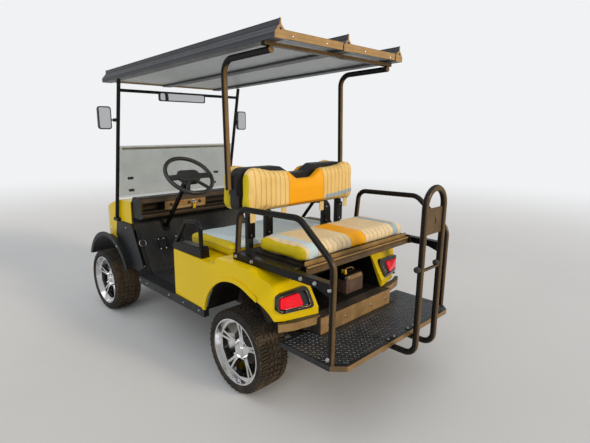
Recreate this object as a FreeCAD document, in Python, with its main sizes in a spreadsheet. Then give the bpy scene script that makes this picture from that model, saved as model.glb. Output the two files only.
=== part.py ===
import FreeCAD, Part
import math
import os
import Sketcher
from FreeCAD import Placement, Rotation, Vector

# Golf cart with a rear-facing seat kit, a long roof and 14 inch wheels.
# Millimetres. +X is forward, +Y is the driver's side, +Z is up.
# The origin lies on the ground below the middle of the overall length.
# Places along the cart are measured from the rear axle, forward positive,
# and the function along() turns such a place into the cart's own X.

# Driving dimensions: name, value, meaning.
SIZES = [
    ("wheelbase", 1651, "rear axle to front axle"),
    ("front_overhang", 362, "front axle to the face of the front bumper"),
    ("grab_x", -830, "centre line of the rear grab bar, from the rear axle"),
    ("tyre_radius", 239.5, "205/30 tyre on a 14 inch wheel"),
    ("tyre_width", 205, "width over the sidewalls"),
    ("tread_width", 182, "flat width of the tread"),
    ("bead_radius", 178, "radius of the bead seat"),
    ("lip_radius", 188, "radius of the polished rim lip"),
    ("rim_width", 186, "width over both rim flanges"),
    ("rear_wheel_inset", 120, "centre plane of a rear wheel, inside the rear body's side"),
    ("front_wheel_y", 498, "centre plane of a front wheel"),
    ("kingpin_y", 345, "axis of a front kingpin"),
    ("hub_radius", 46, "radius of the wheel hub pad"),
    ("spoke_count", 5, "split spokes in a wheel"),
    ("spoke_face", 52, "outer face of the spokes, from the wheel's centre plane"),
    ("spoke_depth", 24, "thickness of the spoke disc"),
    ("axle_radius", 14, "stub axle at the wheel bearing"),
    ("bearing_gap", 0.4, "clearance between a hub bore and its axle"),
    ("rail_y", 160, "centre line of a main frame rail"),
    ("rail_width", 50, "width of a main frame rail"),
    ("rail_height", 75, "height of a main frame rail"),
    ("rail_bottom", 325, "underside of the main frame rails"),
    ("frame_back", -395, "rear end of the main frame rails"),
    ("front_bumper_depth", 28, "thickness of the front bumper on the ends of the main rails"),
    ("spring_half", 300, "half length of a rear leaf spring"),
    ("spring_gap", 44, "eyes of the front springs to the front bumper"),
    ("floor_thick", 6, "thickness of the floor pan"),
    ("sill_height", 52, "height of a sill"),
    ("sill_width", 34, "width of a sill"),
    ("toe_reach", 566, "foot of the toe board, behind the front axle"),
    ("battery_back", 402, "rear face of the batteries, behind the rear body's front edge"),
    ("body_half", 590, "half width of the rear body"),
    ("body_front", 598, "front edge of the rear body"),
    ("body_bottom", 424, "lower edge of the rear body at its front"),
    ("body_top", 716, "upper edge of the rear body beside the front seat"),
    ("deck_z", 762, "top of the rear body under the rear seat"),
    ("body_wall", 5, "wall of the moulded body"),
    ("arch_radius", 275, "radius of the rear wheel arch"),
    ("arch_z", 385, "centre height of the rear wheel arch"),
    ("arch_x", -40, "centre of the rear wheel arch, from the rear axle"),
    ("tail_x", -385, "rearmost point of the rear body"),
    ("tail_z", 505, "lower edge of the rear body at its back"),
    ("well_half", 285, "half width of the open rear well"),
    ("well_floor", 500, "floor of the rear well"),
    ("well_top", 742, "top of the rear well"),
    ("well_front", -70, "front wall of the rear well"),
    ("lamp_inset", 164, "centre of a tail lamp, inside the rear body's side"),
    ("lamp_z", 603, "centre height of a tail lamp"),
    ("lamp_width", 206, "width of a tail lamp's bezel"),
    ("lamp_height", 104, "height of a tail lamp's bezel"),
    ("bumper_half", 322, "half width of the middle of the rear bumper"),
    ("bumper_low", 396, "lower edge of the rear bumper"),
    ("bumper_top", 500, "upper edge of the rear bumper"),
    ("bumper_x", -418, "rear face of the rear bumper"),
    ("bumper_depth", 70, "depth of the rear bumper's middle block"),
    ("cushion_inset", 135, "side of the front seat cushion, inside the rear body's side"),
    ("seat_front", 606, "front edge of the front seat cushion"),
    ("seat_back", 150, "rear edge of the front seat cushion"),
    ("seat_thick", 88, "thickness of the front seat cushion"),
    ("back_low", 995, "lower edge of both back cushions"),
    ("back_high", 1228, "upper edge of both back cushions"),
    ("front_back_face", 252, "front face of the front back cushion"),
    ("rear_back_face", -8, "rear face of the rear back cushion"),
    ("back_thick", 92, "thickness of each back cushion"),
    ("back_dip", 46, "dip of the back cushions between the two places"),
    ("dip_half", 88, "half width of that dip at its top"),
    ("rear_cushion_half", 440, "half width of the rear seat cushion"),
    ("rear_cushion_front", -60, "front edge of the rear seat cushion"),
    ("rear_cushion_back", -412, "rear edge of the rear seat cushion"),
    ("panel_thick", 6, "thickness of the flip panel"),
    ("rear_cushion_thick", 92, "thickness of the rear seat cushion"),
    ("hoop_y", 515, "centre plane of a hoop of the rear seat kit"),
    ("tube_radius", 15.5, "radius of the round seat kit tubes"),
    ("hoop_top", 1056, "centre line of a hoop's top run"),
    ("hoop_back", -652, "centre line of a hoop's rear leg"),
    ("hoop_front", 18, "centre line of a hoop's front leg"),
    ("side_rail", 38, "height and width of the seat kit's side rails"),
    ("foot_z", 412, "top of the footplate"),
    ("foot_thick", 5, "thickness of the footplate"),
    ("foot_back", -716, "rear edge of the footplate"),
    ("foot_half", 530, "half width of the footplate"),
    ("foot_corner", 62, "cut corner of the footplate"),
    ("grab_half", 88, "half the distance between the grab bar's legs"),
    ("grab_top", 1192, "centre line of the grab bar's top"),
    ("roof_back", -270, "rear face of the roof"),
    ("roof_reach", 61, "front face of the roof, behind the front axle"),
    ("roof_low_back", 1850, "underside of the roof at its rear"),
    ("roof_drop", 90, "how much lower the roof is at its front"),
    ("roof_rail_height", 86, "height of a roof rail over its ridge"),
    ("roof_rail_width", 68, "width of a roof rail"),
    ("roof_panel_thick", 10, "thickness of a roof panel"),
    ("strut_clear", 23, "side of a back cushion to the centre plane of a rear strut"),
    ("strut_radius", 16.5, "radius of the roof struts"),
    ("strut_gap", 20, "centre plane of a front strut, outside the front cowl's side"),
    ("strut_reach", 138, "foot of a front strut, behind the front axle"),
    ("glass_top", 1308, "upper edge of the lower windshield pane"),
    ("glass_thick", 5, "thickness of a windshield pane"),
    ("cowl_inset", 90, "side of the front cowl, inside the rear body's side"),
    ("cowl_reach", 349, "back edge of the front cowl, behind the front axle"),
    ("cowl_drop", 37, "back edge of the front cowl, below the dash top"),
    ("cowl_low", 742, "lower edge of the front cowl's side over a fender"),
    ("cowl_wall", 5, "wall of the front cowl"),
    ("dash_top", 945, "top of the dash"),
    ("dash_depth", 142, "depth of the dash"),
    ("dash_height", 155, "height of the dash"),
    ("wheel_y", 262, "centre of the steering wheel"),
    ("wheel_reach", 771, "centre of the steering wheel, behind the front axle"),
    ("wheel_z", 1122, "centre height of the steering wheel"),
    ("wheel_radius", 168, "radius of the steering wheel's rim circle"),
    ("wheel_grip", 14, "radius of the steering wheel's grip"),
    ("column_angle", 40, "lean of the steering column from the vertical, degrees"),
    ("mirror_reach", 87, "centre of a side mirror, outside a front strut"),
    ("mirror_z", 1505, "centre height of a side mirror"),
    ("mirror_width", 92, "width of a side mirror"),
    ("mirror_height", 158, "height of a side mirror"),
    ("seat_gap", 0.3, "clearance of a soft piece from what carries it"),
]

doc = FreeCAD.newDocument("golf_cart")
sheet = doc.addObject("Spreadsheet::Sheet", "Sizes")
for row, (alias, value, meaning) in enumerate(SIZES, 1):
    sheet.set("A%d" % row, meaning)
    sheet.set("B%d" % row, str(value))
    sheet.setAlias("B%d" % row, alias)
doc.recompute()


def size(alias):
    """The value of one driving dimension."""
    return float(getattr(sheet, alias))


REAR_AXLE_X = -(size("wheelbase") + size("front_overhang") + size("grab_x") - size("tube_radius")) / 2
# The same place as a formula for the document's own expressions.
AXLE_TERM = ("(-(Sizes.wheelbase + Sizes.front_overhang + Sizes.grab_x - Sizes.tube_radius) / 2)")


def along(x):
    """The cart's own X of a place measured from the rear axle."""
    return REAR_AXLE_X + x


def place(x, y, z):
    return Vector(along(x), y, z)


HUB_Z = size("tyre_radius")
FRONT_AXLE = size("wheelbase")
FRAME_FRONT = FRONT_AXLE + size("front_overhang") - size("front_bumper_depth")
FRAME_FRONT_TERM = "(Sizes.wheelbase + Sizes.front_overhang - Sizes.front_bumper_depth)"
TOE_X = FRONT_AXLE - size("toe_reach")
COWL_HALF = size("body_half") - size("cowl_inset")
COWL_BACK = FRONT_AXLE - size("cowl_reach")
STRUT_Y = COWL_HALF + size("strut_gap")
# The roof is as wide as the struts that carry it stand apart.
ROOF_HALF = STRUT_Y
COWL_TOP = size("dash_top") - size("cowl_drop")
DASH_FACE = COWL_BACK - size("dash_depth")
DASH_LOW = size("dash_top") - size("dash_height")
ROOF_FRONT = FRONT_AXLE - size("roof_reach")
LAMP_Y = size("body_half") - size("lamp_inset")
REAR_WHEEL_Y = size("body_half") - size("rear_wheel_inset")
CUSHION_HALF = size("body_half") - size("cushion_inset")
REAR_STRUT_Y = CUSHION_HALF + size("strut_clear")
BATTERY_BACK = size("body_front") - size("battery_back")
parts = []


def keep(label, shape):
    """A sub-part whose shape is worked out here from the sheet's values."""
    feature = doc.addObject("Part::Feature", label)
    feature.Label = label
    feature.Shape = shape
    parts.append(feature)
    return feature


def expose(feature, label):
    """A finished object of the document becomes the sub-part of that name."""
    feature.Label = label
    parts.append(feature)
    return feature


# Part primitives whose lengths and places are formulas of the sheet.
def box(name, length, width, height, x, y, z):
    solid = doc.addObject("Part::Box", name)
    solid.setExpression("Length", length)
    solid.setExpression("Width", width)
    solid.setExpression("Height", height)
    solid.setExpression("Placement.Base.x", AXLE_TERM + " + " + x)
    solid.setExpression("Placement.Base.y", y)
    solid.setExpression("Placement.Base.z", z)
    return solid


def fuse(name, pieces):
    joined = doc.addObject("Part::MultiFuse", name)
    joined.Shapes = pieces
    joined.Refine = True
    return joined


# Shapes worked out by code.
def corner_arc(before, corner, after, radius):
    """The arc of that radius that rounds a corner: its two ends and its middle."""
    back = (before - corner).normalize()
    ahead = (after - corner).normalize()
    half = back.getAngle(ahead) / 2
    reach = radius / math.tan(half)
    middle = (back + ahead).normalize()
    depth = radius / math.sin(half) - radius
    return corner + back * reach, corner + middle * depth, corner + ahead * reach


def bent_wire(points, bend):
    """Straight runs through the points, every corner rounded; bend is one radius or one for each corner."""
    corners = len(points) - 2
    bends = bend if isinstance(bend, (list, tuple)) else [bend] * corners
    edges = []
    start = points[0]
    for index in range(corners):
        first, middle, last = corner_arc(points[index], points[index + 1], points[index + 2], bends[index])
        edges.append(Part.LineSegment(start, first).toShape())
        edges.append(Part.Arc(first, middle, last).toShape())
        start = last
    edges.append(Part.LineSegment(start, points[-1]).toShape())
    return Part.Wire(edges)


def bar(points, bend, radius):
    """A round bar bent along the points."""
    path = bent_wire(points, bend)
    section = Part.Wire(Part.Circle(points[0], points[1] - points[0], radius).toShape())
    return path.makePipeShell([section], True, True, 1)


def outline(points, plane, offset):
    """A closed wire; a point is (a, b) or (a, b, radius) to round it there."""
    def lift(a, b):
        if plane == "side":
            return Vector(along(a), offset, b)
        if plane == "plan":
            return Vector(along(a), b, offset)
        return Vector(along(offset), a, b)
    count = len(points)
    spots = [lift(point[0], point[1]) for point in points]
    edges = []
    ends = []
    for index in range(count):
        radius = points[index][2] if len(points[index]) > 2 else 0
        if radius:
            ends.append(corner_arc(spots[index - 1], spots[index], spots[(index + 1) % count], radius))
        else:
            ends.append((spots[index], None, spots[index]))
    for index in range(count):
        first, middle, last = ends[index]
        if middle is not None:
            edges.append(Part.Arc(first, middle, last).toShape())
        following = ends[(index + 1) % count][0]
        if (following - last).Length > 1e-6:
            edges.append(Part.LineSegment(last, following).toShape())
    return Part.Wire(edges)


def slab(points, plane, start, end):
    """An outline drawn in a plane and carried from start to end across it."""
    face = Part.Face(outline(points, plane, start))
    travel = end - start
    direction = {"side": Vector(0, travel, 0), "plan": Vector(0, 0, travel), "cross": Vector(travel, 0, 0)}
    return face.extrude(direction[plane])


def block(x0, x1, y0, y1, z0, z1):
    """A plain block between two corners, x measured from the rear axle."""
    return Part.makeBox(x1 - x0, y1 - y0, z1 - z0, place(x0, y0, z0))


def rod(x, y, z, direction, length, radius):
    return Part.makeCylinder(radius, length, place(x, y, z), direction)


def mirrored(shape):
    """The same shape on the other side of the cart."""
    return shape.mirror(Vector(0, 0, 0), Vector(0, 1, 0))


def both(shape):
    return Part.Compound([shape, mirrored(shape)])


def soften(shape, radius, choose):
    """Rounds the edges that choose() accepts."""
    edges = [edge for edge in shape.Edges if choose(edge)]
    return shape.makeFillet(radius, edges)


def joined(pieces):
    return pieces[0].fuse(pieces[1:]).removeSplitter()


# PartDesign bodies: sketches on the body's own planes, dimensioned from the sheet.
def plane_of(body, role):
    return [item for item in body.Origin.OriginFeatures if item.Role == role][0]


def sketch_on(body, name, role, corners):
    """A closed outline; each corner is a pair of formulas, dimensioned from the origin."""
    sketch = body.newObject("Sketcher::SketchObject", name)
    sketch.AttachmentSupport = [(plane_of(body, role), "")]
    sketch.MapMode = "FlatFace"
    spots = [Vector(evaluate(a), evaluate(b), 0) for a, b in corners]
    count = len(spots)
    for index in range(count):
        sketch.addGeometry(Part.LineSegment(spots[index], spots[(index + 1) % count]))
    for index in range(count):
        sketch.addConstraint(Sketcher.Constraint("Coincident", index, 2, (index + 1) % count, 1))
    for index, (a, b) in enumerate(corners):
        dimension(sketch, "DistanceX", index, a, spots[index].x)
        dimension(sketch, "DistanceY", index, b, spots[index].y)
    return sketch


def dimension(sketch, kind, index, formula, value):
    """The distance of a corner from the sketch's origin follows its formula."""
    number = sketch.addConstraint(Sketcher.Constraint(kind, -1, 1, index, 1, value))
    sketch.setExpression("Constraints[%d]" % number, formula)


def evaluate(formula):
    """The present value of a formula, for a sketch's first draft."""
    return float(sheet.evalExpression(formula))


def turned(body, name, corners):
    """A body of revolution about its own Y axis; corners are (radius, y) formulas."""
    sketch = sketch_on(body, name + "Profile", "XY_Plane", corners)
    doc.recompute()
    solid = body.newObject("PartDesign::Revolution", name)
    solid.Profile = sketch
    solid.ReferenceAxis = (sketch, ["V_Axis"])
    solid.Angle = 360
    doc.recompute()
    return solid


def stand(body, x, y, z, turn=0):
    """Puts a body's own origin at that place, turned about the vertical."""
    body.Placement.Rotation = Rotation(Vector(0, 0, 1), turn)
    body.setExpression("Placement.Base.x", AXLE_TERM + " + " + x)
    body.setExpression("Placement.Base.y", y)
    body.setExpression("Placement.Base.z", z)


# Frame
def frame():
    """Two main rails tied by cross members."""
    rails = []
    for side, edge in (("Left", "Sizes.rail_y - Sizes.rail_width / 2"),
                       ("Right", "-Sizes.rail_y - Sizes.rail_width / 2")):
        rails.append(box("Rail" + side, FRAME_FRONT_TERM + " - Sizes.frame_back", "Sizes.rail_width",
                         "Sizes.rail_height", "Sizes.frame_back", edge, "Sizes.rail_bottom"))
    # Places of the cross members from the rear axle.
    for index, spot in enumerate(("Sizes.frame_back + 40", "Sizes.frame_back + 505",
                                  "Sizes.body_front + 42", "Sizes.wheelbase - Sizes.toe_reach + 60",
                                  "Sizes.wheelbase - 150", FRAME_FRONT_TERM + " - 90")):
        rails.append(box("CrossMember%d" % index, "Sizes.rail_width",
                         "2 * Sizes.rail_y - Sizes.rail_width / 2", "Sizes.rail_width",
                         spot, "-Sizes.rail_y + Sizes.rail_width / 4", "Sizes.rail_bottom + 12"))
    return expose(fuse("FrameRails", rails), "frame")


# Wheels
def tyre(label, x, y, turn):
    """Low tyre: bead, bulging sidewalls and a flat tread with rounded shoulders."""
    body = doc.addObject("PartDesign::Body", label)
    rim_edge = "Sizes.rim_width / 2"
    half = "Sizes.tyre_width / 2"
    tread = "Sizes.tread_width / 2"
    profile = [
        ("Sizes.bead_radius + 0.4", rim_edge + " - 12.4"),
        ("Sizes.lip_radius + 0.5", rim_edge + " - 5.4"),
        ("Sizes.lip_radius + 8", half + " - 3"),
        ("Sizes.lip_radius + 18", half),
        ("Sizes.tyre_radius - 15", half + " - 2"),
        ("Sizes.tyre_radius - 5", tread + " + 3"),
        ("Sizes.tyre_radius", tread + " - 6"),
    ]
    corners = profile + [(radius, "-(" + across + ")") for radius, across in reversed(profile)]
    turned(body, label + "Carcass", corners)
    stand(body, x, y, "Sizes.tyre_radius", turn)
    return expose(body, label)


def polar(radius, degrees, turn=0.0):
    """A corner given by its distance from the hub and its angle."""
    angle = "(%s + %g) * 1 deg" % (degrees, turn)
    return ("(%s) * cos(%s)" % (radius, angle), "(%s) * sin(%s)" % (radius, angle))


def rim(label, x, y, turn):
    """Deep polished wheel: barrel and lip turned in one, split spokes by patterned windows."""
    body = doc.addObject("PartDesign::Body", label)
    edge = "Sizes.rim_width / 2"
    face = "Sizes.spoke_face"
    back = "Sizes.spoke_face - Sizes.spoke_depth"
    bore = "Sizes.axle_radius + Sizes.bearing_gap"
    turned(body, label + "Barrel", [
        (bore, "-22"),
        ("Sizes.hub_radius", "-22"),
        ("Sizes.hub_radius", back + " - 10"),
        ("Sizes.bead_radius - 9", back),
        ("Sizes.bead_radius - 9", "-(" + edge + ") + 6"),
        ("Sizes.bead_radius - 3", "-(" + edge + ")"),
        ("Sizes.lip_radius", "-(" + edge + ")"),
        ("Sizes.lip_radius", "-(" + edge + ") + 5"),
        ("Sizes.bead_radius", "-(" + edge + ") + 12"),
        ("Sizes.bead_radius", edge + " - 12"),
        ("Sizes.lip_radius", edge + " - 5"),
        ("Sizes.lip_radius", edge),
        ("Sizes.lip_radius - 7", edge),
        ("Sizes.bead_radius - 7", face + " + 8"),
        ("Sizes.hub_radius + 22", face + " - 8"),
        ("Sizes.hub_radius - 4", face + " - 4"),
        ("Sizes.hub_radius - 14", face + " + 6"),
        ("0", face + " + 6"),
        ("0", face + " - 10"),
        (bore, face + " - 10"),
    ])
    pitch = "360 / Sizes.spoke_count"
    inner = "Sizes.hub_radius + 17"
    outer = "Sizes.bead_radius - 17"
    wide = sketch_on(body, label + "WindowOutline", "XZ_Plane", [
        polar(inner, "90 + 15"), polar("Sizes.hub_radius + 60", "90 + 8.6"), polar(outer, "90 + 9.2"),
        polar(outer, "90 + " + pitch + " / 2"), polar(outer, "90 + " + pitch + " - 9.2"),
        polar("Sizes.hub_radius + 60", "90 + " + pitch + " - 8.6"), polar(inner, "90 + " + pitch + " - 15")])
    slit = sketch_on(body, label + "SplitOutline", "XZ_Plane", [
        polar("Sizes.hub_radius + 46", "90"), polar(outer, "90 - 4.4"), polar(outer, "90 + 4.4")])
    doc.recompute()
    for name, sketch in (("Window", wide), ("Split", slit)):
        before = body.Shape.Volume
        cut = body.newObject("PartDesign::Pocket", label + name)
        cut.Profile = sketch
        cut.Type = 1
        cut.Midplane = True
        body.Tip = cut
        doc.recompute()
        if body.Shape.Volume >= before:
            raise RuntimeError(label + name + " cuts nothing")
        pattern = body.newObject("PartDesign::PolarPattern", label + name + "Pattern")
        pattern.Originals = [cut]
        pattern.Axis = (plane_of(body, "Y_Axis"), [""])
        pattern.Angle = 360
        pattern.setExpression("Occurrences", "Sizes.spoke_count")
        body.Tip = pattern
        doc.recompute()
    stand(body, x, y, "Sizes.tyre_radius", turn)
    return expose(body, label)


# Running gear
def rear_axle():
    """Axle tube with the final drive's housing and the two shafts that carry the wheels."""
    radius = 32
    tube_half = REAR_WHEEL_Y - size("rim_width") / 2 - 18
    tube = rod(0, -tube_half, HUB_Z, Vector(0, 1, 0), 2 * tube_half, radius)
    housing = Part.makeSphere(88, place(0, 55, HUB_Z))
    cover = rod(-96, 55, HUB_Z, Vector(1, 0, 0), 60, 62)
    shaft_half = REAR_WHEEL_Y + size("spoke_face") - 24
    shaft = rod(0, -shaft_half, HUB_Z, Vector(0, 1, 0), 2 * shaft_half, size("axle_radius"))
    keep("rear_axle", joined([tube, housing, cover, shaft]))


def motor():
    """Plain block at the place of the electric motor, on the final drive."""
    radius = 84
    body = rod(88 + radius, -95, HUB_Z - 2, Vector(0, 1, 0), 250, radius)
    keep("drive_motor", body)


SPRING_EYE_Z = size("rail_bottom") + 22
SPRING_IN = size("rail_y") + size("rail_width") / 2


def leaf_spring(x, seat_z, reach):
    """Leaf pack arched down to the axle, its eyes on pins in the rail's side."""
    thick = 15
    inner = SPRING_IN + 6
    width = 44
    eye = 15
    pin_length = inner - SPRING_IN + width
    lower = Part.Arc(place(x - reach, inner, SPRING_EYE_Z - thick / 2), place(x, inner, seat_z),
                     place(x + reach, inner, SPRING_EYE_Z - thick / 2)).toShape()
    upper = Part.Arc(place(x + reach, inner, SPRING_EYE_Z + thick / 2), place(x, inner, seat_z + thick),
                     place(x - reach, inner, SPRING_EYE_Z + thick / 2)).toShape()
    ends = [Part.LineSegment(place(x + side * reach, inner, SPRING_EYE_Z - thick / 2),
                             place(x + side * reach, inner, SPRING_EYE_Z + thick / 2)).toShape()
            for side in (-1, 1)]
    leaf = Part.Face(Part.Wire([lower, ends[1], upper, ends[0]])).extrude(Vector(0, width, 0))
    eyes = [rod(x + side * reach, inner, SPRING_EYE_Z, Vector(0, 1, 0), width, eye) for side in (-1, 1)]
    pins = [rod(x + side * reach, SPRING_IN, SPRING_EYE_Z, Vector(0, 1, 0), pin_length, 7)
            for side in (-1, 1)]
    return both(joined([leaf] + eyes + pins))


def springs():
    keep("rear_springs", leaf_spring(0, HUB_Z + 32, size("spring_half")))
    reach = FRAME_FRONT - FRONT_AXLE - size("spring_gap")
    keep("front_springs", leaf_spring(FRONT_AXLE, HUB_Z + 25, reach))


BARREL = 20
FORK_GAP = 42
FORK_THICK = 13


def front_beam():
    """Front axle beam with a fork and a kingpin at each end."""
    fork_in = size("kingpin_y") - 44
    beam = block(FRONT_AXLE - 25, FRONT_AXLE + 25, -fork_in, fork_in, HUB_Z - 25, HUB_Z + 25)
    height = FORK_GAP + FORK_THICK
    web = block(FRONT_AXLE - 22, FRONT_AXLE + 22, fork_in - 2, fork_in + 12, HUB_Z - height, HUB_Z + height)
    plates = []
    for z in (HUB_Z - height, HUB_Z + FORK_GAP):
        plates.append(block(FRONT_AXLE - 22, FRONT_AXLE + 22, fork_in, size("kingpin_y"), z, z + FORK_THICK))
        plates.append(rod(FRONT_AXLE, size("kingpin_y"), z, Vector(0, 0, 1), FORK_THICK, 22))
    pin = rod(FRONT_AXLE, size("kingpin_y"), HUB_Z - height, Vector(0, 0, 1), 2 * height, 9)
    fork = joined([web, pin] + plates)
    keep("front_axle_beam", joined([beam, fork, mirrored(fork)]))


ARM_REACH = 118
ARM_DROP = 30


def knuckle(label, side):
    """Knuckle turning on the kingpin, with its stub axle and a steering arm to the rear."""
    half = FORK_GAP - 0.4
    y = size("kingpin_y")
    barrel = rod(FRONT_AXLE, y, HUB_Z - half, Vector(0, 0, 1), 2 * half, BARREL)
    end = size("front_wheel_y") + size("spoke_face") - 24
    stub = rod(FRONT_AXLE, y, HUB_Z, Vector(0, 1, 0), end - y, size("axle_radius"))
    boss = rod(FRONT_AXLE, y, HUB_Z, Vector(0, 1, 0), BARREL + 26, 24)
    arm = block(FRONT_AXLE - ARM_REACH, FRONT_AXLE, y - 11, y + 11, HUB_Z - ARM_DROP, HUB_Z - ARM_DROP + 14)
    eye = rod(FRONT_AXLE - ARM_REACH, y, HUB_Z - ARM_DROP, Vector(0, 0, 1), 14, 15)
    solid = joined([barrel, stub, boss, arm, eye])
    solid = solid.cut(rod(FRONT_AXLE, y, HUB_Z - 60, Vector(0, 0, 1), 120, 9 + size("bearing_gap")))
    keep(label, solid if side > 0 else mirrored(solid))


def tie_rod():
    """Rod across the cart whose flat eyes lie on the steering arms."""
    low = HUB_Z - ARM_DROP + 14 + size("seat_gap")
    y = size("kingpin_y")
    x = FRONT_AXLE - ARM_REACH
    eyes = [rod(x, side * y, low, Vector(0, 0, 1), 14, 15) for side in (-1, 1)]
    tube = rod(x, -y, low + 7, Vector(0, 1, 0), 2 * y, 7)
    keep("tie_rod", joined([tube] + eyes))


# Floor, sills and batteries
TOE_RUN = COWL_BACK - 4 - TOE_X
TOE_CLEAR = DASH_LOW - size("seat_gap") - size("rail_bottom") - size("rail_height")
TOE_RISE = TOE_CLEAR - size("floor_thick") * TOE_RUN / math.hypot(TOE_RUN, TOE_CLEAR)


def floor_pan():
    """Floor between the sills, turned up in front as the toe board."""
    low = size("rail_bottom") + size("rail_height")
    thick = size("floor_thick")
    toe = TOE_X
    start = size("body_front") - 28
    upper = low + TOE_RISE
    turn = math.atan2(TOE_RISE, TOE_RUN)
    points = [(start, low), (toe, low), (toe + TOE_RUN, upper),
              (toe + TOE_RUN - thick * math.sin(turn), upper + thick * math.cos(turn)),
              (toe - thick * math.tan(turn / 2), low + thick), (start, low + thick)]
    half = size("body_half") - size("sill_width")
    pan = slab(points, "side", -half, half)
    trim = block(toe + 20, toe + TOE_RUN + 90, COWL_HALF, half + 10, low - 10, upper + 14)
    pan = pan.cut([trim, mirrored(trim)])
    keep("floor_pan", pan)


def sills():
    half = size("body_half")
    top = size("body_bottom")
    start = size("arch_x") + size("arch_radius") + 12
    end = TOE_X - 33
    sill = slab([(start, top - size("sill_height")), (end, top - size("sill_height"), 12),
                 (end, top), (start, top)], "side", half - size("sill_width"), half)
    keep("sills", both(sill))


def batteries():
    """Plain block at the place of the battery pack under the front seat."""
    cases = box("BatteryCases", "370", "690", "245", "Sizes.body_front - Sizes.battery_back", "-345",
                "Sizes.rail_bottom + Sizes.rail_height")
    expose(cases, "battery_pack")


# Rear body
def rear_shell(inset):
    """The rear body's form, drawn in by the inset on every side."""
    front = size("body_front") - inset
    top = size("body_top") - inset
    deck = size("deck_z") - inset
    tail = size("tail_x") + inset
    half = size("body_half") - inset
    low = size("body_bottom") - (0 if inset <= 0 else 60)
    tail_low = size("tail_z") - (0 if inset <= 0 else 60)
    step = size("seat_back") - inset
    back = size("tail_x")
    side = [(front + 12, low), (front - 8, top, 24), (step - 16, top, 8), (step - 38, deck, 8),
            (back + 217, deck, 90), (tail + 117, deck - 56, 60), (tail, tail_low + 14, 14),
            (tail + 8, tail_low), (size("arch_x"), tail_low), (size("arch_x"), low)]
    profile = slab(side, "side", -half - 30, half + 30)
    middle = size("body_front") - 398
    flat = size("body_half") - 360
    plan = [(front + 12, half - 14, 40), (middle, half, 400), (back + 195, half, 160),
            (tail + 73, half - 72, 110), (tail, flat, 60), (tail, -flat, 60), (tail + 73, -half + 72, 110),
            (back + 195, -half, 160), (middle, -half, 400), (front + 12, -half + 14, 40)]
    return profile.common(slab(plan, "plan", low - 10, deck + 10))


def arch_cut(radius, inner):
    """The space of both rear wheel arches, open outwards."""
    outer = size("body_half") + 80
    return both(rod(size("arch_x"), inner, size("arch_z"), Vector(0, 1, 0), outer - inner, radius))


def well_space(grow):
    """The open well in the tail, larger by grow on its five walls."""
    return block(size("tail_x") - 100, size("well_front") + grow, -size("well_half") - grow,
                 size("well_half") + grow, size("well_floor") - grow, size("well_top") + grow)


LIP = 22


def rear_body():
    wall = size("body_wall")
    shell = rear_shell(0).cut(rear_shell(wall))
    arch_in = REAR_WHEEL_Y - size("tyre_width") / 2 - 20
    below = block(-700, 900, -700, 700, 300, size("arch_z"))
    cut = arch_cut(size("arch_radius"), arch_in).cut(below)
    straight = block(size("arch_x") - size("arch_radius"), size("arch_x") + size("arch_radius"),
                     arch_in, size("body_half") + 80, 300, size("arch_z") + 1)
    lift_out = block(BATTERY_BACK - 20, size("seat_front") - 60, -cushion_hole(), cushion_hole(), 650, 800)
    shell = shell.cut([cut, straight, mirrored(straight), well_space(5), lift_out])
    solids = sorted(shell.Solids, key=lambda solid: -solid.Volume)
    shell = solids[0]
    # Flared lip round the arch, standing proud of the side.
    flare_out = size("body_half") + 9
    ring = rod(size("arch_x"), size("body_half") - wall, size("arch_z"), Vector(0, 1, 0),
               flare_out - size("body_half") + wall, size("arch_radius") + LIP)
    hole = rod(size("arch_x"), size("body_half") - 60, size("arch_z"), Vector(0, 1, 0), 120,
               size("arch_radius"))
    ring = ring.cut(hole).cut(block(-700, 900, 300, 700, 0, size("body_bottom")))
    ring = ring.common(rear_shell(-9))
    keep("rear_body", joined([shell, ring, mirrored(ring)]))


def cushion_hole():
    """Half width of the opening under the front cushion."""
    return CUSHION_HALF - 60


def arch_liners():
    """Dark liners that close the rear arches over the tyres."""
    thick = 4
    inner = REAR_WHEEL_Y - size("tyre_width") / 2 - 14
    outer = size("body_half") - size("body_wall") - 12
    radius = size("arch_radius") - size("seat_gap")
    ring = rod(size("arch_x"), inner, size("arch_z"), Vector(0, 1, 0), outer - inner, radius)
    core = rod(size("arch_x"), inner - 5, size("arch_z"), Vector(0, 1, 0), outer - inner + 10, radius - thick)
    middle = size("arch_x")
    ahead = block(middle, middle + 400, inner - 20, outer + 20, size("body_bottom"), size("arch_z") + 400)
    behind = block(middle - 400, middle, inner - 20, outer + 20, size("tail_z") + 2, size("arch_z") + 400)
    keep("arch_liners", both(ring.cut(core).common(ahead.fuse(behind))))


def rear_well():
    """Moulded well in the tail: floor, roof, two sides and a front wall."""
    thick = 4
    gap = size("seat_gap")
    outer = well_space(5 - gap).common(rear_shell(3))
    inner = well_space(5 - gap - thick)
    inner = inner.fuse(block(size("tail_x") - 100, size("tail_x") + 30, -size("well_half"),
                             size("well_half"), size("well_floor"), size("well_top")))
    bumper_space = block(size("bumper_x") - 10, size("bumper_x") + size("bumper_depth") + gap, -600, 600, 0,
                         size("bumper_top") + gap)
    keep("rear_well", outer.cut([inner, bumper_space]))


def well_charger():
    """Sealed charger case on the well's floor."""
    low = size("well_floor") - 5 + size("seat_gap") + 4
    side = -size("well_half")
    case = block(size("tail_x") + 93, size("well_front") - 80, side + 80, side + 240, low, low + 92)
    case = soften(case, 8, lambda edge: abs(edge.tangentAt(0).z) > 0.9)
    keep("well_charger", case)


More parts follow.
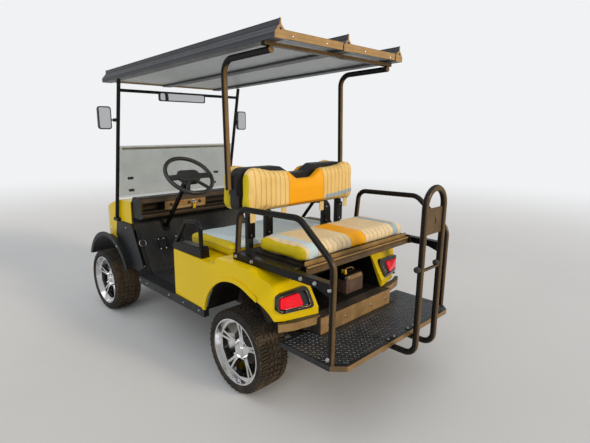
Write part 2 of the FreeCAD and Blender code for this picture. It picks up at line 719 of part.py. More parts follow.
def on_tail(y, z, width, height, start, end, radius):
    """A rounded patch that follows the tail, between two depths outside its skin."""
    patch = slab([(y - width / 2, z - height / 2, radius), (y + width / 2, z - height / 2, radius),
                  (y + width / 2, z + height / 2, radius), (y - width / 2, z + height / 2, radius)],
                 "cross", size("tail_x") - 75, size("tail_x") + 205)
    return patch.common(rear_shell(-end).cut(rear_shell(-start)))


def tail_lamps():
    y, z = LAMP_Y, size("lamp_z")
    width, height = size("lamp_width"), size("lamp_height")
    frame_ring = on_tail(y, z, width, height, size("seat_gap"), 12, 26)
    pocket = on_tail(y + 8, z, width - 30, height - 34, 4, 30, 16)
    keep("tail_lamp_bezels", both(frame_ring.cut(pocket)))
    lens = on_tail(y + 28, z, width - 84, height - 44, 4 + size("seat_gap"), 11, 12)
    keep("tail_lamp_lenses", both(lens))


def rear_bumper():
    """Middle block of the bumper and the two wings below the tail."""
    half = size("bumper_half")
    x = size("bumper_x")
    front = x + size("bumper_depth")
    middle = slab([(x, -half, 14), (x, half, 14), (front, half), (front, -half)], "plan",
                  size("bumper_low") + 8, size("bumper_top"))
    wing_top = size("tail_z") - size("seat_gap")
    tail = size("tail_x")
    side = size("body_half")
    wing = slab([(tail - 7, half - 20), (tail - 7, half + 20), (tail + 19, side - 120, 60),
                 (tail + 55, side - 50), (tail + 73, side - 60), (tail + 45, side - 138, 60),
                 (tail + 33, half - 20)], "plan", size("tail_z") - 42, wing_top)
    wing = wing.cut(arch_cut(size("arch_radius") + 2, half))
    keep("rear_bumper", joined([middle, wing, mirrored(wing)]))


# Front body
NOSE_X = FRONT_AXLE + 334
FRONT_ARCH = 345
FENDER_IN = size("rail_y") + 72


def cowl_form(inset):
    """The front cowl's form, drawn in by the inset on every side."""
    low = 500 - (0 if inset <= 0 else 60)
    back = COWL_BACK - (0 if inset <= 0 else 60)
    top = COWL_TOP - inset
    axle = FRONT_AXLE
    side = [(back, low), (back, top), (axle - 151, top - 6, 260), (axle + 221, top - 132, 260),
            (NOSE_X - inset, COWL_TOP - 268, 110), (NOSE_X - 18 - inset, low)]
    half = COWL_HALF + 3 - inset
    flat = COWL_HALF - 310
    plan = [(back, half), (axle + 49, half, 500), (axle + 289, half - 96, 180), (NOSE_X - inset, flat, 160),
            (NOSE_X - inset, -flat, 160), (axle + 289, -half + 96, 180), (axle + 49, -half, 500),
            (back, -half)]
    reach = size("body_half") + 110
    return slab(side, "side", -reach, reach).common(slab(plan, "plan", low - 5, COWL_TOP + 52))


def front_cowl():
    shell = cowl_form(0).cut(cowl_form(size("cowl_wall")))
    arch = rod(FRONT_AXLE, 230, HUB_Z + 15, Vector(0, 1, 0), 500, FRONT_ARCH)
    corner = block(COWL_BACK - 10, FRONT_AXLE - 200, 230, 700, 300, size("cowl_low"))
    shell = shell.cut([arch, mirrored(arch), corner, mirrored(corner)])
    solids = sorted(shell.Solids, key=lambda solid: -solid.Volume)
    keep("front_cowl", solids[0])


def front_fenders():
    """Dark moulded fenders: a curved liner over each front wheel with a side panel behind it."""
    thick = 6
    inner = FENDER_IN
    outer = size("body_half") - 34
    radius = FRONT_ARCH - size("seat_gap")
    centre = HUB_Z + 15
    ring = rod(FRONT_AXLE, inner, centre, Vector(0, 1, 0), outer - inner, radius)
    ring = ring.cut(rod(FRONT_AXLE, inner - 5, centre, Vector(0, 1, 0), outer - inner + 10, radius - thick))
    ring = ring.common(block(COWL_BACK - 60, FRONT_AXLE + 400, inner - 5, outer + 5, 392, 800))
    lip = rod(FRONT_AXLE, outer - 6, centre, Vector(0, 1, 0), 10, radius + 26)
    lip = lip.cut(rod(FRONT_AXLE, outer - 20, centre, Vector(0, 1, 0), 40, radius - thick))
    lip = lip.common(block(COWL_BACK - 60, FRONT_AXLE + 400, inner - 5, outer + 50, 392, 800))
    low = size("rail_bottom") + size("rail_height") + 2
    high = size("cowl_low") - 4
    panel = slab([(TOE_X + 24, low), (FRONT_AXLE - 240, low), (FRONT_AXLE - 90, high - 118),
                  (FRONT_AXLE - 120, high, 30), (COWL_BACK - 10, high)],
                 "side", COWL_HALF + 5, COWL_HALF + 13)
    panel = panel.cut(rod(FRONT_AXLE, 230, centre, Vector(0, 1, 0), 500, radius - 1))
    solid = joined([ring, lip, panel])
    keep("front_fenders", both(solid))


def front_bumper():
    """Bumper bar on the ends of the main rails."""
    x = FRAME_FRONT
    reach = size("front_bumper_depth")
    half = FENDER_IN - 6
    bar_solid = slab([(x, -half), (x + reach * 0.4, -half, 8), (x + reach, -half + 46, 30),
                      (x + reach, half - 46, 30), (x + reach * 0.4, half, 8), (x, half)], "plan",
                     size("rail_bottom") + 6, size("rail_bottom") + 116)
    keep("front_bumper", bar_solid)


def on_nose(y, z, width, height, start, end, radius):
    patch = slab([(y - width / 2, z - height / 2, radius), (y + width / 2, z - height / 2, radius),
                  (y + width / 2, z + height / 2, radius), (y - width / 2, z + height / 2, radius)],
                 "cross", NOSE_X - 260, NOSE_X + 60)
    return patch.common(cowl_form(-end).cut(cowl_form(-start)))


def headlamps():
    lamp = on_nose(COWL_HALF - 215, COWL_TOP - 248, 170, 96, size("seat_gap"), 10, 24)
    keep("headlamps", both(lamp))


# Dash and controls
def dash():
    """Moulded dash with a glove pocket each side, a ledge and a panel in the middle."""
    face = DASH_FACE
    top = size("dash_top")
    half = COWL_HALF - 8
    end = COWL_BACK - size("seat_gap")
    low = DASH_LOW
    side = [(face + 26, low), (face - 24, low + 16, 8), (face - 24, low + 40, 8), (face + 8, low + 46),
            (face, top - 40), (face + 24, top, 20), (end - 20, top, 20), (end, COWL_TOP + 6), (end, low)]
    form = slab(side, "side", -half, half)
    pockets = [block(face - 60, face + 108, y0, y1, low + 56, top - 36) for y0, y1 in
               ((size("wheel_y") + 42, half - 16), (-half + 16, -56))]
    axis = column_axis()
    clear = Part.makeCylinder(21, 900, wheel_centre() - axis * 900, axis)
    form = form.cut(pockets + [clear])
    solids = sorted(form.Solids, key=lambda solid: -solid.Volume)
    keep("dash", solids[0])


def column_axis():
    """Unit vector up the steering column, towards the driver."""
    lean = math.radians(size("column_angle"))
    return Vector(-math.sin(lean), 0, math.cos(lean))


def wheel_centre():
    return place(FRONT_AXLE - size("wheel_reach"), size("wheel_y"), size("wheel_z"))


def toe_board_frame():
    """A point at the foot of the toe board's upper face and that face's normal."""
    slope = Vector(TOE_RUN, 0, TOE_RISE).normalize()
    normal = Vector(-slope.z, 0, slope.x)
    low = size("rail_bottom") + size("rail_height")
    return place(TOE_X, 0, low) + normal * (size("floor_thick") + size("seat_gap")), normal


def steering_column():
    """Column tube from a flange on the toe board up to the steering wheel's hub."""
    axis = column_axis()
    radius = 16
    top = wheel_centre() - axis * 62
    foot, normal = toe_board_frame()
    reach = (top - foot).dot(normal) / axis.dot(normal)
    base = top - axis * reach
    flange = Part.makeCylinder(30, 16, base, normal)
    tube = Part.makeCylinder(radius, reach - 9, base + axis * 9, axis)
    collar = Part.makeCylinder(25, 90, top - axis * 90, axis)
    stalk = Part.makeCylinder(4, 80, top - axis * 30, Vector(0, -1, 0.1))
    keep("steering_column", joined([tube, flange, collar, stalk]))


def steering_wheel():
    """Ring with two broad and two narrow spokes and a padded hub, on the column's axis."""
    radius = size("wheel_radius")
    grip = size("wheel_grip")
    ring = Part.makeTorus(radius, grip)
    hub = Part.makeCylinder(42, 40, Vector(0, 0, -44))
    stem = Part.makeCylinder(15, 20, Vector(0, 0, -61.6))
    spokes = []
    # Turn from the wheel's top and width of each spoke.
    for turn, width in ((98, 42), (-98, 42), (150, 24), (-150, 24)):
        spoke = Part.makeBox(radius - 24, width, 10, Vector(24, -width / 2, -14))
        spoke.rotate(Vector(0, 0, 0), Vector(0, 1, 0), -7)
        spoke.rotate(Vector(0, 0, 0), Vector(0, 0, 1), turn)
        spokes.append(spoke)
    pad = slab([(34, -60, 16), (34, 60, 16), (-8, 80, 14), (-60, 46, 18), (-60, -46, 18), (-8, -80, 14)],
               "plan", -30, -5)
    pad.translate(Vector(-REAR_AXLE_X, 0, 0))
    solid = joined([ring, hub, stem, pad] + spokes)
    lean = -size("column_angle")
    solid.rotate(Vector(0, 0, 0), Vector(0, 1, 0), lean)
    solid.translate(wheel_centre())
    keep("steering_wheel", solid)


def pedals():
    """Brake and throttle pads on brackets from the toe board."""
    foot, normal = toe_board_frame()
    slope = Vector(-normal.z, 0, normal.x) * -1
    made = []
    for y, width, rise in ((345, 78, 190), (205, 60, 175)):
        base = foot + slope * rise + Vector(0, y, 0)
        bracket = Part.makeBox(44, 22, 46, Vector(0, -11, -23))
        pad = Part.makeBox(9, width, 84, Vector(42, -width / 2, -58))
        solid = joined([bracket, pad])
        solid.Placement = Placement(base, Rotation(Vector(1, 0, 0), normal))
        made.append(solid)
    keep("pedals", Part.Compound(made))


# Windshield, struts and roof
STRUT_LEAN = -0.186
STRUT_TUBE = 13
ROOF_SLOPE = size("roof_drop") / (ROOF_FRONT - size("roof_back"))


def front_strut_x(z):
    """Place of the front struts' centre line at a height."""
    return FRONT_AXLE - size("strut_reach") + STRUT_LEAN * (z - 735)


def roof_low(x):
    """Height of the roof's underside."""
    return size("roof_low_back") - ROOF_SLOPE * (x - size("roof_back"))


def strut_top():
    """Height at which the centre line of a front strut meets the roof's underside."""
    at_foot = roof_low(front_strut_x(0))
    return at_foot / (1 + ROOF_SLOPE * STRUT_LEAN)


def front_struts():
    """Two leaning tubes with feet, clamps for the panes and a cross tube at the top."""
    y = STRUT_Y
    low, high = size("cowl_low") + 10, strut_top() - size("seat_gap")
    radius = STRUT_TUBE
    start = place(front_strut_x(low), y, low)
    axis = place(front_strut_x(high), y, high) - start
    tilt = abs(STRUT_LEAN) + ROOF_SLOPE
    post = Part.makeCylinder(radius, axis.Length - radius * tilt, start, axis)
    foot = block(front_strut_x(low) - 34, front_strut_x(low) + 34, COWL_HALF + 3 + size("seat_gap"),
                 y + 12, size("cowl_low") - 4 + size("seat_gap"), size("cowl_low") + 20)
    cross_z = cross_height()
    cross = rod(front_strut_x(cross_z), -y, cross_z, Vector(0, 1, 0), 2 * y, 11)
    keep("front_struts", joined([post, foot, mirrored(post), mirrored(foot), cross]))


def cross_height():
    """Height of the cross tube between the front struts."""
    return strut_top() - 78


def pane(low, high, forward):
    """A flat windshield pane between the struts, leaning with them."""
    half = STRUT_Y - STRUT_TUBE - size("seat_gap")
    thick = size("glass_thick")
    points = [(front_strut_x(low) + forward, low), (front_strut_x(high) + forward, high),
              (front_strut_x(high) + forward + thick, high), (front_strut_x(low) + forward + thick, low)]
    return slab(points, "side", -half, half)


def windshield():
    """The fixed lower pane and, in front of it, the upper pane folded down."""
    top = size("glass_top")
    near, far = 2, 18
    keep("windshield", Part.Compound([pane(COWL_TOP + 4, top, near), pane(COWL_TOP + 16, top - 8, far)]))
    # Rubber strip between the panes, near their upper edges.
    back = near + size("glass_thick") + size("seat_gap")
    front = far - size("seat_gap")
    low, high = top - 30, top - 14
    strip = slab([(front_strut_x(low) + back, low), (front_strut_x(high) + back, high),
                  (front_strut_x(high) + front, high), (front_strut_x(low) + front, low)],
                 "side", -STRUT_Y + 40, STRUT_Y - 40)
    keep("windshield_hinge", strip)


def rear_struts():
    """Rear roof struts, each bent forward edge up and over to the rear, with a cross bar."""
    y = REAR_STRUT_Y
    radius = size("strut_radius")
    bar_thick = 18
    bar_x = size("roof_back") + 78
    foot = size("front_back_face") - size("back_thick") - 20
    run = radius + bar_thick
    strut = bar([place(foot, y, size("back_high") - 108), place(foot + 23, y, roof_low(foot) - run),
                 place(bar_x - 14, y, roof_low(bar_x - 14) - run)], 72, radius)
    back, front = bar_x - 13, bar_x + 13
    cross = slab([(back, roof_low(back) - bar_thick), (front, roof_low(front) - bar_thick),
                  (front, roof_low(front) - 0.5), (back, roof_low(back) - 0.5)],
                 "side", -ROOF_HALF + 3, ROOF_HALF - 3)
    keep("rear_struts", joined([strut, mirrored(strut), cross]))


def roof_section(points):
    """A roof profile's section at the rear face, carried along the slope to the front."""
    low = size("roof_low_back")
    face = Part.Face(outline([(y, low + z) + tuple(rest) for y, z, *rest in points], "cross",
                             size("roof_back")))
    return face.extrude(Vector(ROOF_FRONT - size("roof_back"), 0, -size("roof_drop")))


def roof():
    """Three ridge rails, boards across both ends and two pale panels."""
    high = size("roof_rail_height")
    width = size("roof_rail_width")
    half = ROOF_HALF
    ridge = half - width / 2
    side = [(half - width, 0), (half, 0), (half, 26), (half - 12, 42), (ridge + 5, 60, 10),
            (ridge + 4, high, 3), (ridge - 4, high, 3), (ridge - 5, 60, 10), (half - width + 6, 40),
            (half - width, 34)]
    middle = [(-width / 2, 0), (width / 2, 0), (width / 2, 30), (5, 58, 10), (4, high, 3),
              (-4, high, 3), (-5, 58, 10), (-width / 2, 30)]
    left = roof_section(side)
    rails = [left, roof_section(middle), mirrored(left)]
    inner = width / 2
    outer = half - width
    board = []
    low = size("roof_low_back")
    for x, z in ((size("roof_back"), low), (ROOF_FRONT - 12, low - size("roof_drop") + 0.6)):
        board.append(block(x, x + 12, inner, outer, z + 4, z + 42))
    thick = size("roof_panel_thick")
    face = Part.Face(outline([(inner, low + 14), (outer, low + 14), (outer, low + 14 + thick),
                              (inner, low + 14 + thick)], "cross", size("roof_back") + 12))
    drop = size("roof_drop") * (ROOF_FRONT - size("roof_back") - 24) / (
        ROOF_FRONT - size("roof_back"))
    panel = face.extrude(Vector(ROOF_FRONT - size("roof_back") - 24, 0, -drop))
    keep("roof_panels", both(panel))
    # End caps, slightly larger than the rails and closed.
    caps = []
    for points in (side, middle):
        grown = [(y, z + (2 if z > 50 else 0)) + tuple(rest) for y, z, *rest in points]
        for x, z in ((size("roof_back") - 6, 0), (ROOF_FRONT, -size("roof_drop"))):
            wire = outline([(y, low + z + up) + tuple(rest) for y, up, *rest in grown], "cross", x)
            caps.append(Part.Face(wire).extrude(Vector(6, 0, 0)))
    ends = board + [mirrored(piece) for piece in board] + caps + [mirrored(piece) for piece in caps[:2]]
    keep("roof_frame", joined(rails + ends))


def side_mirrors():
    """Mirrors on brackets clamped to the front struts."""
    y, z = STRUT_Y + size("mirror_reach"), size("mirror_z")
    x = front_strut_x(z) + 16
    width, height = size("mirror_width"), size("mirror_height")
    case = slab([(y - width / 2, z - height / 2, 20), (y + width / 2, z - height / 2, 20),
                 (y + width / 2, z + height / 2, 20), (y - width / 2, z + height / 2, 20)],
                "cross", x, x + 22)
    face = STRUT_Y + STRUT_TUBE + size("seat_gap")
    arm = rod(x + 12, face, z - 14, Vector(0, 1, 0), y - face, 6)
    clamp = block(front_strut_x(z) - 12, x + 20, face, face + 10, z - 26, z - 2)
    keep("side_mirrors", both(joined([case, arm, clamp])))


def centre_mirror():
    """Wide mirror hung from the front cross tube."""
    z = cross_height() - 26
    x = front_strut_x(cross_height())
    case = slab([(-170, z - 36, 14), (230, z - 36, 14), (230, z + 28, 14), (-170, z + 28, 14)],
                "cross", x - 34, x - 20)
    hook = block(x - 21, x - 11.2, 15, 45, z + 6, z + 26)
    keep("centre_mirror", joined([case, hook]))


# Seats
def front_cushion():
    """Plain solid of the front seat cushion on its base panel."""
    low = size("body_top") + size("seat_gap")
    high = low + size("seat_thick")
    half = CUSHION_HALF
    back, front = size("seat_back"), size("seat_front")
    side = [(back, low), (front - 14, low, 10), (front, low + 30, 20), (front - 6, high, 34),
            (back, high, 28)]
    solid = slab(side, "side", -half, half)
    plan = [(back, -half, 40), (front, -half, 70), (front, half, 70), (back, half, 40)]
    keep("front_cushion", solid.common(slab(plan, "plan", low - 5, high + 5)))


def back_outline(low, high, half):
    """Both back cushions share this outline, dipped between the two places."""
    dip = size("back_dip")
    flat = size("dip_half")
    return [(-half, low, 50), (half, low, 50), (half, high, 62), (flat + 62, high, 60),
            (flat - 20, high - dip, 50), (-flat + 20, high - dip, 50), (-flat - 62, high, 60),
            (-half, high, 62)]


def back_cushions():
    """Plain solids of the two back cushions, either side of the shell."""
    low, high = size("back_low"), size("back_high")
    thick = size("back_thick")
    half = CUSHION_HALF
    face = size("rear_back_face")
    rear = slab(back_outline(low, high, half), "cross", face, face + thick)
    keep("rear_back_cushion", rear)
    face = size("front_back_face")
    front = slab(back_outline(low, high, half), "cross", face - thick, face)
    keep("front_back_cushion", front)


def back_shell():
    """Moulded shell between the back cushions, with its four posts."""
    gap = size("seat_gap")
    start = size("rear_back_face") + size("back_thick") + gap
    end = size("front_back_face") - size("back_thick") - gap
    shell = slab(back_outline(size("back_low") - 6, size("back_high") + 9, CUSHION_HALF - 2),
                 "cross", start, end)
    post_x = start
    posts = []
    for y in (CUSHION_HALF - 70, CUSHION_HALF - 205):
        posts.append(block(post_x - 22, post_x + 12, y - 16, y + 16, size("deck_z"), size("back_low") - 4))
    posts = posts + [mirrored(post) for post in posts]
    foot = block(post_x - 34, post_x + 18, CUSHION_HALF - 233, CUSHION_HALF - 42,
                 size("deck_z"), size("deck_z") + 8)
    # Plates that bolt the roof struts to the ends of the shell.
    inner = CUSHION_HALF - 6
    plate = block(start + 8, end, inner, REAR_STRUT_Y - size("strut_radius"),
                  size("back_high") - 138, size("back_high") - 32)
    keep("back_shell", joined([shell] + posts + [foot, mirrored(foot), plate, mirrored(plate)]))


def armrests():
    """Bent tube loops beside the front cushion, each on a moulded base."""
    y = size("body_half") - 30
    low = size("body_top") - 2
    x = size("body_front")
    loop = bar([place(x - 14, y, low + 30), place(x - 142, y, low + 190), place(x - 292, y, low + 208),
                place(x - 300, y, low + 30)], [46, 46], 13)
    base = slab([(x - 322, low + 2), (x - 2, low + 2, 14), (x - 10, low + 40, 16), (x - 90, low + 60, 60),
                 (x - 316, low + 68, 20)], "side", y - 42, y + 18)
    base = soften(base, 6, lambda edge: edge.BoundBox.ZMin > low + 34 and edge.BoundBox.YLength < 1)
    keep("armrests", both(joined([loop, base])))


RAIL_TOP = size("deck_z") + size("side_rail")
PANEL_LOW = RAIL_TOP + size("seat_gap")
HINGE_RADIUS = 8
HINGE_PIN = 5


def rear_cushion():
    """Plain solid of the rear seat cushion."""
    low = PANEL_LOW + size("panel_thick") + size("seat_gap")
    high = low + size("rear_cushion_thick")
    half = size("rear_cushion_half")
    back, front = size("rear_cushion_back"), size("rear_cushion_front")
    side = [(back, low, 8), (front, low, 8), (front, high, 34), (back, high, 30)]
    solid = slab(side, "side", -half, half)
    plan = [(back, -half, 60), (front, -half, 40), (front, half, 40), (back, half, 60)]
    keep("rear_cushion", solid.common(slab(plan, "plan", low - 5, high + 5)))


def hinge_place():
    """Axis of the flip seat, just behind its rear edge."""
    return size("rear_cushion_back") - 18, PANEL_LOW + size("panel_thick") / 2


def flip_panel():
    """Panel under the rear cushion, its rear lip and its hinge tube."""
    low = PANEL_LOW
    high = low + size("panel_thick")
    back, front = size("rear_cushion_back"), size("rear_cushion_front")
    half = size("rear_cushion_half") + 12
    x, z = hinge_place()
    panel = block(x, front + 4, -half, half, low, high)
    lip = block(back - 6, back - 2, -half, half, low, high + 24)
    tube = rod(x, -half, z, Vector(0, 1, 0), 2 * half, HINGE_RADIUS)
    solid = joined([panel, lip, tube])
    bore = rod(x, half - 30, z, Vector(0, 1, 0), 40, HINGE_PIN + size("bearing_gap"))
    keep("flip_panel", solid.cut([bore, mirrored(bore)]))


def seat_frame():
    """The seat kit's welded frame: side rails, cross tubes, hoops, gussets and hinge pins."""
    y = size("hoop_y")
    section = size("side_rail")
    top = RAIL_TOP
    low = size("deck_z")
    back, front = size("hoop_back"), size("hoop_front")
    radius = size("tube_radius")
    rail = block(back + 4, front + 16, y - section / 2, y + section / 2, low, top)
    hoop = bar([place(front + 4, y, low + 2), place(front - 20, y, size("hoop_top") - 16),
                place(back + 212, y, size("hoop_top")), place(back, y, size("foot_z") + 472),
                place(back, y, size("foot_z"))],
               [62, 90, 90], radius)
    gusset = slab([(back, low - 40), (back + 132, low + 2), (back + 132, top), (back, top)],
                  "side", y - 3, y + 3)
    x, z = hinge_place()
    bracket = slab([(x - 14, low + 4), (x + 40, low + 4), (x + 14, z + 12, 6), (x - 14, z + 12, 6)],
                   "side", size("rear_cushion_half") + 22, size("rear_cushion_half") + 27)
    web = block(x - 14, x + 40, size("rear_cushion_half") + 22, y - section / 2, low + 4, low + 9)
    pin = rod(x, size("rear_cushion_half") - 14, z, Vector(0, 1, 0), 38, HINGE_PIN)
    sides = [rail, hoop, gusset, bracket, web, pin]
    ties = [block(spot, spot + 28, -y, y, low + 4, low + 32) for spot in
            (x + 56, size("rear_cushion_front") - 68)]
    ties.append(block(x + 2, x + 26, -y, y, low, z - HINGE_RADIUS - 4))
    keep("seat_frame", joined(sides + [mirrored(piece) for piece in sides] + ties))


def seat_deck():
    """Dark fixed tray under the flip panel, on the cross tubes."""
    top = RAIL_TOP
    low = size("deck_z")
    outer = size("hoop_y") - size("side_rail") / 2
    back = hinge_place()[0] + 42
    front = size("hoop_front") + 12
    tray = block(back, front, -outer, outer, low + 32, low + 35)
    lip = block(front, front + 3, -outer, outer, low + 4, top - 2)
    keep("seat_deck", joined([tray, lip]))


# Footplate and grab bar
def foot_outline(shrink):
    """Plan of the footplate; its front edge steps round the bumper."""
    back = size("foot_back") + shrink
    half = size("foot_half") - shrink
    corner = size("foot_corner")
    side_front = size("tail_x") + 55 - shrink
    front = size("bumper_x") - 6 - shrink
    inner = size("bumper_half") + 6 + shrink
    return [(side_front, half, 8), (back + corner, half, 12), (back, half - corner, 12),
            (back, -half + corner, 12), (back + corner, -half, 12), (side_front, -half, 8),
            (side_front, -inner), (front, -inner), (front, inner), (side_front, inner)]


def footplate():
    """Tread plate on a rim of flat bar, carried by two arms from the main rails."""
    top = size("foot_z")
    thick = size("foot_thick")
    plate = slab(foot_outline(0), "plan", top - thick, top)
    rim_low = top - thick - 22
    edge = slab(foot_outline(0), "plan", rim_low, top - thick).cut(
        slab(foot_outline(5), "plan", rim_low - 1, top))
    y = size("rail_y")
    beam = block(size("foot_back") + 8, size("frame_back"), y - 19, y + 19, rim_low - 14, rim_low + 4)
    hook = block(size("foot_back") + 8, size("bumper_x") - 12, y - 19, y + 19, rim_low, top - thick + 1)
    keep("footplate", joined([plate, edge, beam, hook, mirrored(beam), mirrored(hook)]))


def grab_bar():
    """Closed loop of tube behind the footplate, curled under its rear edge, with a hand plate."""
    x = size("grab_x")
    half = size("grab_half")
    top = size("grab_top")
    radius = size("tube_radius")
    reach = size("foot_back")
    low = size("foot_z") - size("foot_thick") - 22 - radius
    curl = 58
    upper = Part.Arc(place(x, half, top - half), place(x, 0, top), place(x, -half, top - half)).toShape()
    leg = Part.LineSegment(place(x, half, low + curl), place(x, half, top - half)).toShape()
    bend = Part.Arc(place(x + curl, half, low), place(x + curl * (1 - math.sqrt(0.5)), half,
                    low + curl * (1 - math.sqrt(0.5))), place(x, half, low + curl)).toShape()
    foot = Part.LineSegment(place(reach + 34, half, low), place(x + curl, half, low)).toShape()

    def other(edge):
        return edge.mirror(Vector(0, 0, 0), Vector(0, 1, 0))
    ordered = Part.__sortEdges__([foot, bend, leg, upper, other(leg), other(bend), other(foot)])
    path = Part.Wire(ordered)
    start = ordered[0].Vertexes[0].Point
    section = Part.Wire(Part.Circle(start, Vector(1, 0, 0), radius).toShape())
    tube = path.makePipeShell([section], True, True, 1)
    plate = block(x - 3, x + 3, -half, half, top - half - 132, top - half - 6)
    step_bar = rod(x, -half, size("foot_z") + 388, Vector(0, 1, 0), 2 * half, 8)
    tabs = [block(reach + 6, reach + 34, side * half - 14, side * half + 14, low + radius - 4,
                  low + radius) for side in (-1, 1)]
    keep("grab_bar", joined([tube, plate, step_bar] + tabs))


frame()
rear_axle()
motor()
springs()
front_beam()
knuckle("front_left_knuckle", 1)
knuckle("front_right_knuckle", -1)
tie_rod()
floor_pan()
sills()
batteries()
rear_body()
arch_liners()
rear_well()
well_charger()
tail_lamps()
rear_bumper()
front_cowl()
front_fenders()
front_bumper()
headlamps()
dash()
steering_column()
steering_wheel()
pedals()
front_struts()
windshield()
rear_struts()
roof()
side_mirrors()
centre_mirror()
front_cushion()
back_cushions()
back_shell()
armrests()
rear_cushion()
flip_panel()
seat_frame()
seat_deck()
footplate()
grab_bar()
# Where each wheel stands: name, place along the cart, place across it, turn.
WHEELS = [
    ("rear_left", "0", "Sizes.body_half - Sizes.rear_wheel_inset", 0),
    ("rear_right", "0", "Sizes.rear_wheel_inset - Sizes.body_half", 180),
    ("front_left", "Sizes.wheelbase", "Sizes.front_wheel_y", 0),
    ("front_right", "Sizes.wheelbase", "-Sizes.front_wheel_y", 180),
]
for name, x, y, turn in WHEELS:
    tyre(name + "_tyre", x, y, turn)
    rim(name + "_rim", x, y, turn)

doc.recompute()
for item in doc.Objects:
    if "Invalid" in item.State or "Error" in item.State:
        raise RuntimeError(item.Name + " failed: " + str(item.State))
broken = [part.Label for part in parts if part.Shape.isNull() or not part.Shape.isValid()]
if broken:
    raise RuntimeError("no valid shape: " + ", ".join(broken))
os.makedirs("parts", exist_ok=True)
for part in parts:
    part.Shape.exportStep("parts/" + part.Label + ".step")
    box_now = part.Shape.BoundBox
    print("%-22s solids %2d volume %9.0f cm3  x %6.0f %6.0f  y %5.0f %5.0f  z %5.0f %5.0f" % (
        part.Label, len(part.Shape.Solids), part.Shape.Volume / 1000, box_now.XMin, box_now.XMax,
        box_now.YMin, box_now.YMax, box_now.ZMin, box_now.ZMax))
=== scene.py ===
# %% [markdown]
# # A golf cart with a rear facing seat
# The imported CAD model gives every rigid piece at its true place, so this lesson starts by
# loading it and never moves a node. What CAD leaves plain is made here: pleated cushions,
# tyre treads, fastenings and the finish of each surface. All sizes are in metres, +X is
# forward, +Y is the driver's left and +Z is up.

# %% Load the frame
from functools import partialmethod
import math

import bpy
import numpy as np
from mathutils import Matrix, Vector
from mathutils.bvhtree import BVHTree


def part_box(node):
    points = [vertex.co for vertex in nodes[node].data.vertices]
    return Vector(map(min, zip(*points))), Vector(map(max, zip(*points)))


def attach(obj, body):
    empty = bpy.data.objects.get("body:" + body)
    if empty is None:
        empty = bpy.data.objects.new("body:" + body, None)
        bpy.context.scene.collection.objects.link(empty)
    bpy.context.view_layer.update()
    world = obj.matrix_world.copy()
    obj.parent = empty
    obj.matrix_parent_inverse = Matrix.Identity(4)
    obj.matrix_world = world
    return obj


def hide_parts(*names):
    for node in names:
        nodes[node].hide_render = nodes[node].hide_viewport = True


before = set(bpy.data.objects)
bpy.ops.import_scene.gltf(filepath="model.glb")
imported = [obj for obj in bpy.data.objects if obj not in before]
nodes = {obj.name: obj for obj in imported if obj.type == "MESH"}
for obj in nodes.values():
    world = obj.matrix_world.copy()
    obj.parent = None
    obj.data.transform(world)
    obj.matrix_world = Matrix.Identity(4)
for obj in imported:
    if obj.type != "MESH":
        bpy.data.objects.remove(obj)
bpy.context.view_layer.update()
REAR_AXLE = -0.58375

# %% [markdown]
# ## The camera
# The picture was taken from behind the cart on its left, from about eye height, with a wide
# lens. Its place and turn were worked out once from points whose size is known, such as the
# wheels and the roof. A rotation matrix is built from three directions, because a slight
# roll is easier to state that way than as angles.

# %% Place the camera
CAMERA = (-2.4154, 1.9442, 1.4696)
YAW, PITCH, ROLL = (math.radians(angle) for angle in (-45.19, -12.108, 0.739))
FOCAL_LENGTH, SENSOR_WIDTH = 27.326, 36  # millimetres


def direction(turn, rise):
    """Unit vector at an angle turn from +X towards +Y, raised by the angle rise."""
    level = math.cos(rise)
    return np.array([level * math.cos(turn), level * math.sin(turn), math.sin(rise)])


def look(yaw, pitch, roll):
    """Right, up and back directions of a camera that looks along yaw and pitch."""
    ahead = direction(yaw, pitch)
    level = np.array([math.sin(yaw), -math.cos(yaw), 0.0])
    upward = np.cross(level, ahead)
    right = level * math.cos(roll) + upward * math.sin(roll)
    up = upward * math.cos(roll) - level * math.sin(roll)
    return right, up, -ahead


def new_object(name, data):
    """An object that shows a mesh, a camera or a lamp, linked into the scene."""
    holder = bpy.data.objects.new(name, data)
    bpy.context.scene.collection.objects.link(holder)
    return holder


def set_up(holder, directions, place):
    """Puts an object at place, with its X, Y and Z along the three directions."""
    pose = np.eye(4)
    pose[:3, :3] = np.array(directions).T
    pose[:3, 3] = place
    holder.matrix_world = Matrix(pose.tolist())


lens = bpy.data.cameras.new("camera")
lens.lens, lens.sensor_width = FOCAL_LENGTH, SENSOR_WIDTH
camera = new_object("camera", lens)
set_up(camera, look(YAW, PITCH, ROLL), CAMERA)
bpy.context.scene.camera = camera
print("camera at", CAMERA)

# %% [markdown]
# ## Nodes that read like sums
# A procedural finish is a chain of small sums on places and noises. Making each Math node by
# hand hides the idea, so a signal wraps a node's output and turns +, -, *, < into nodes.
# Shaders stay outside it: a signal only carries numbers and colours.

# %% Signals


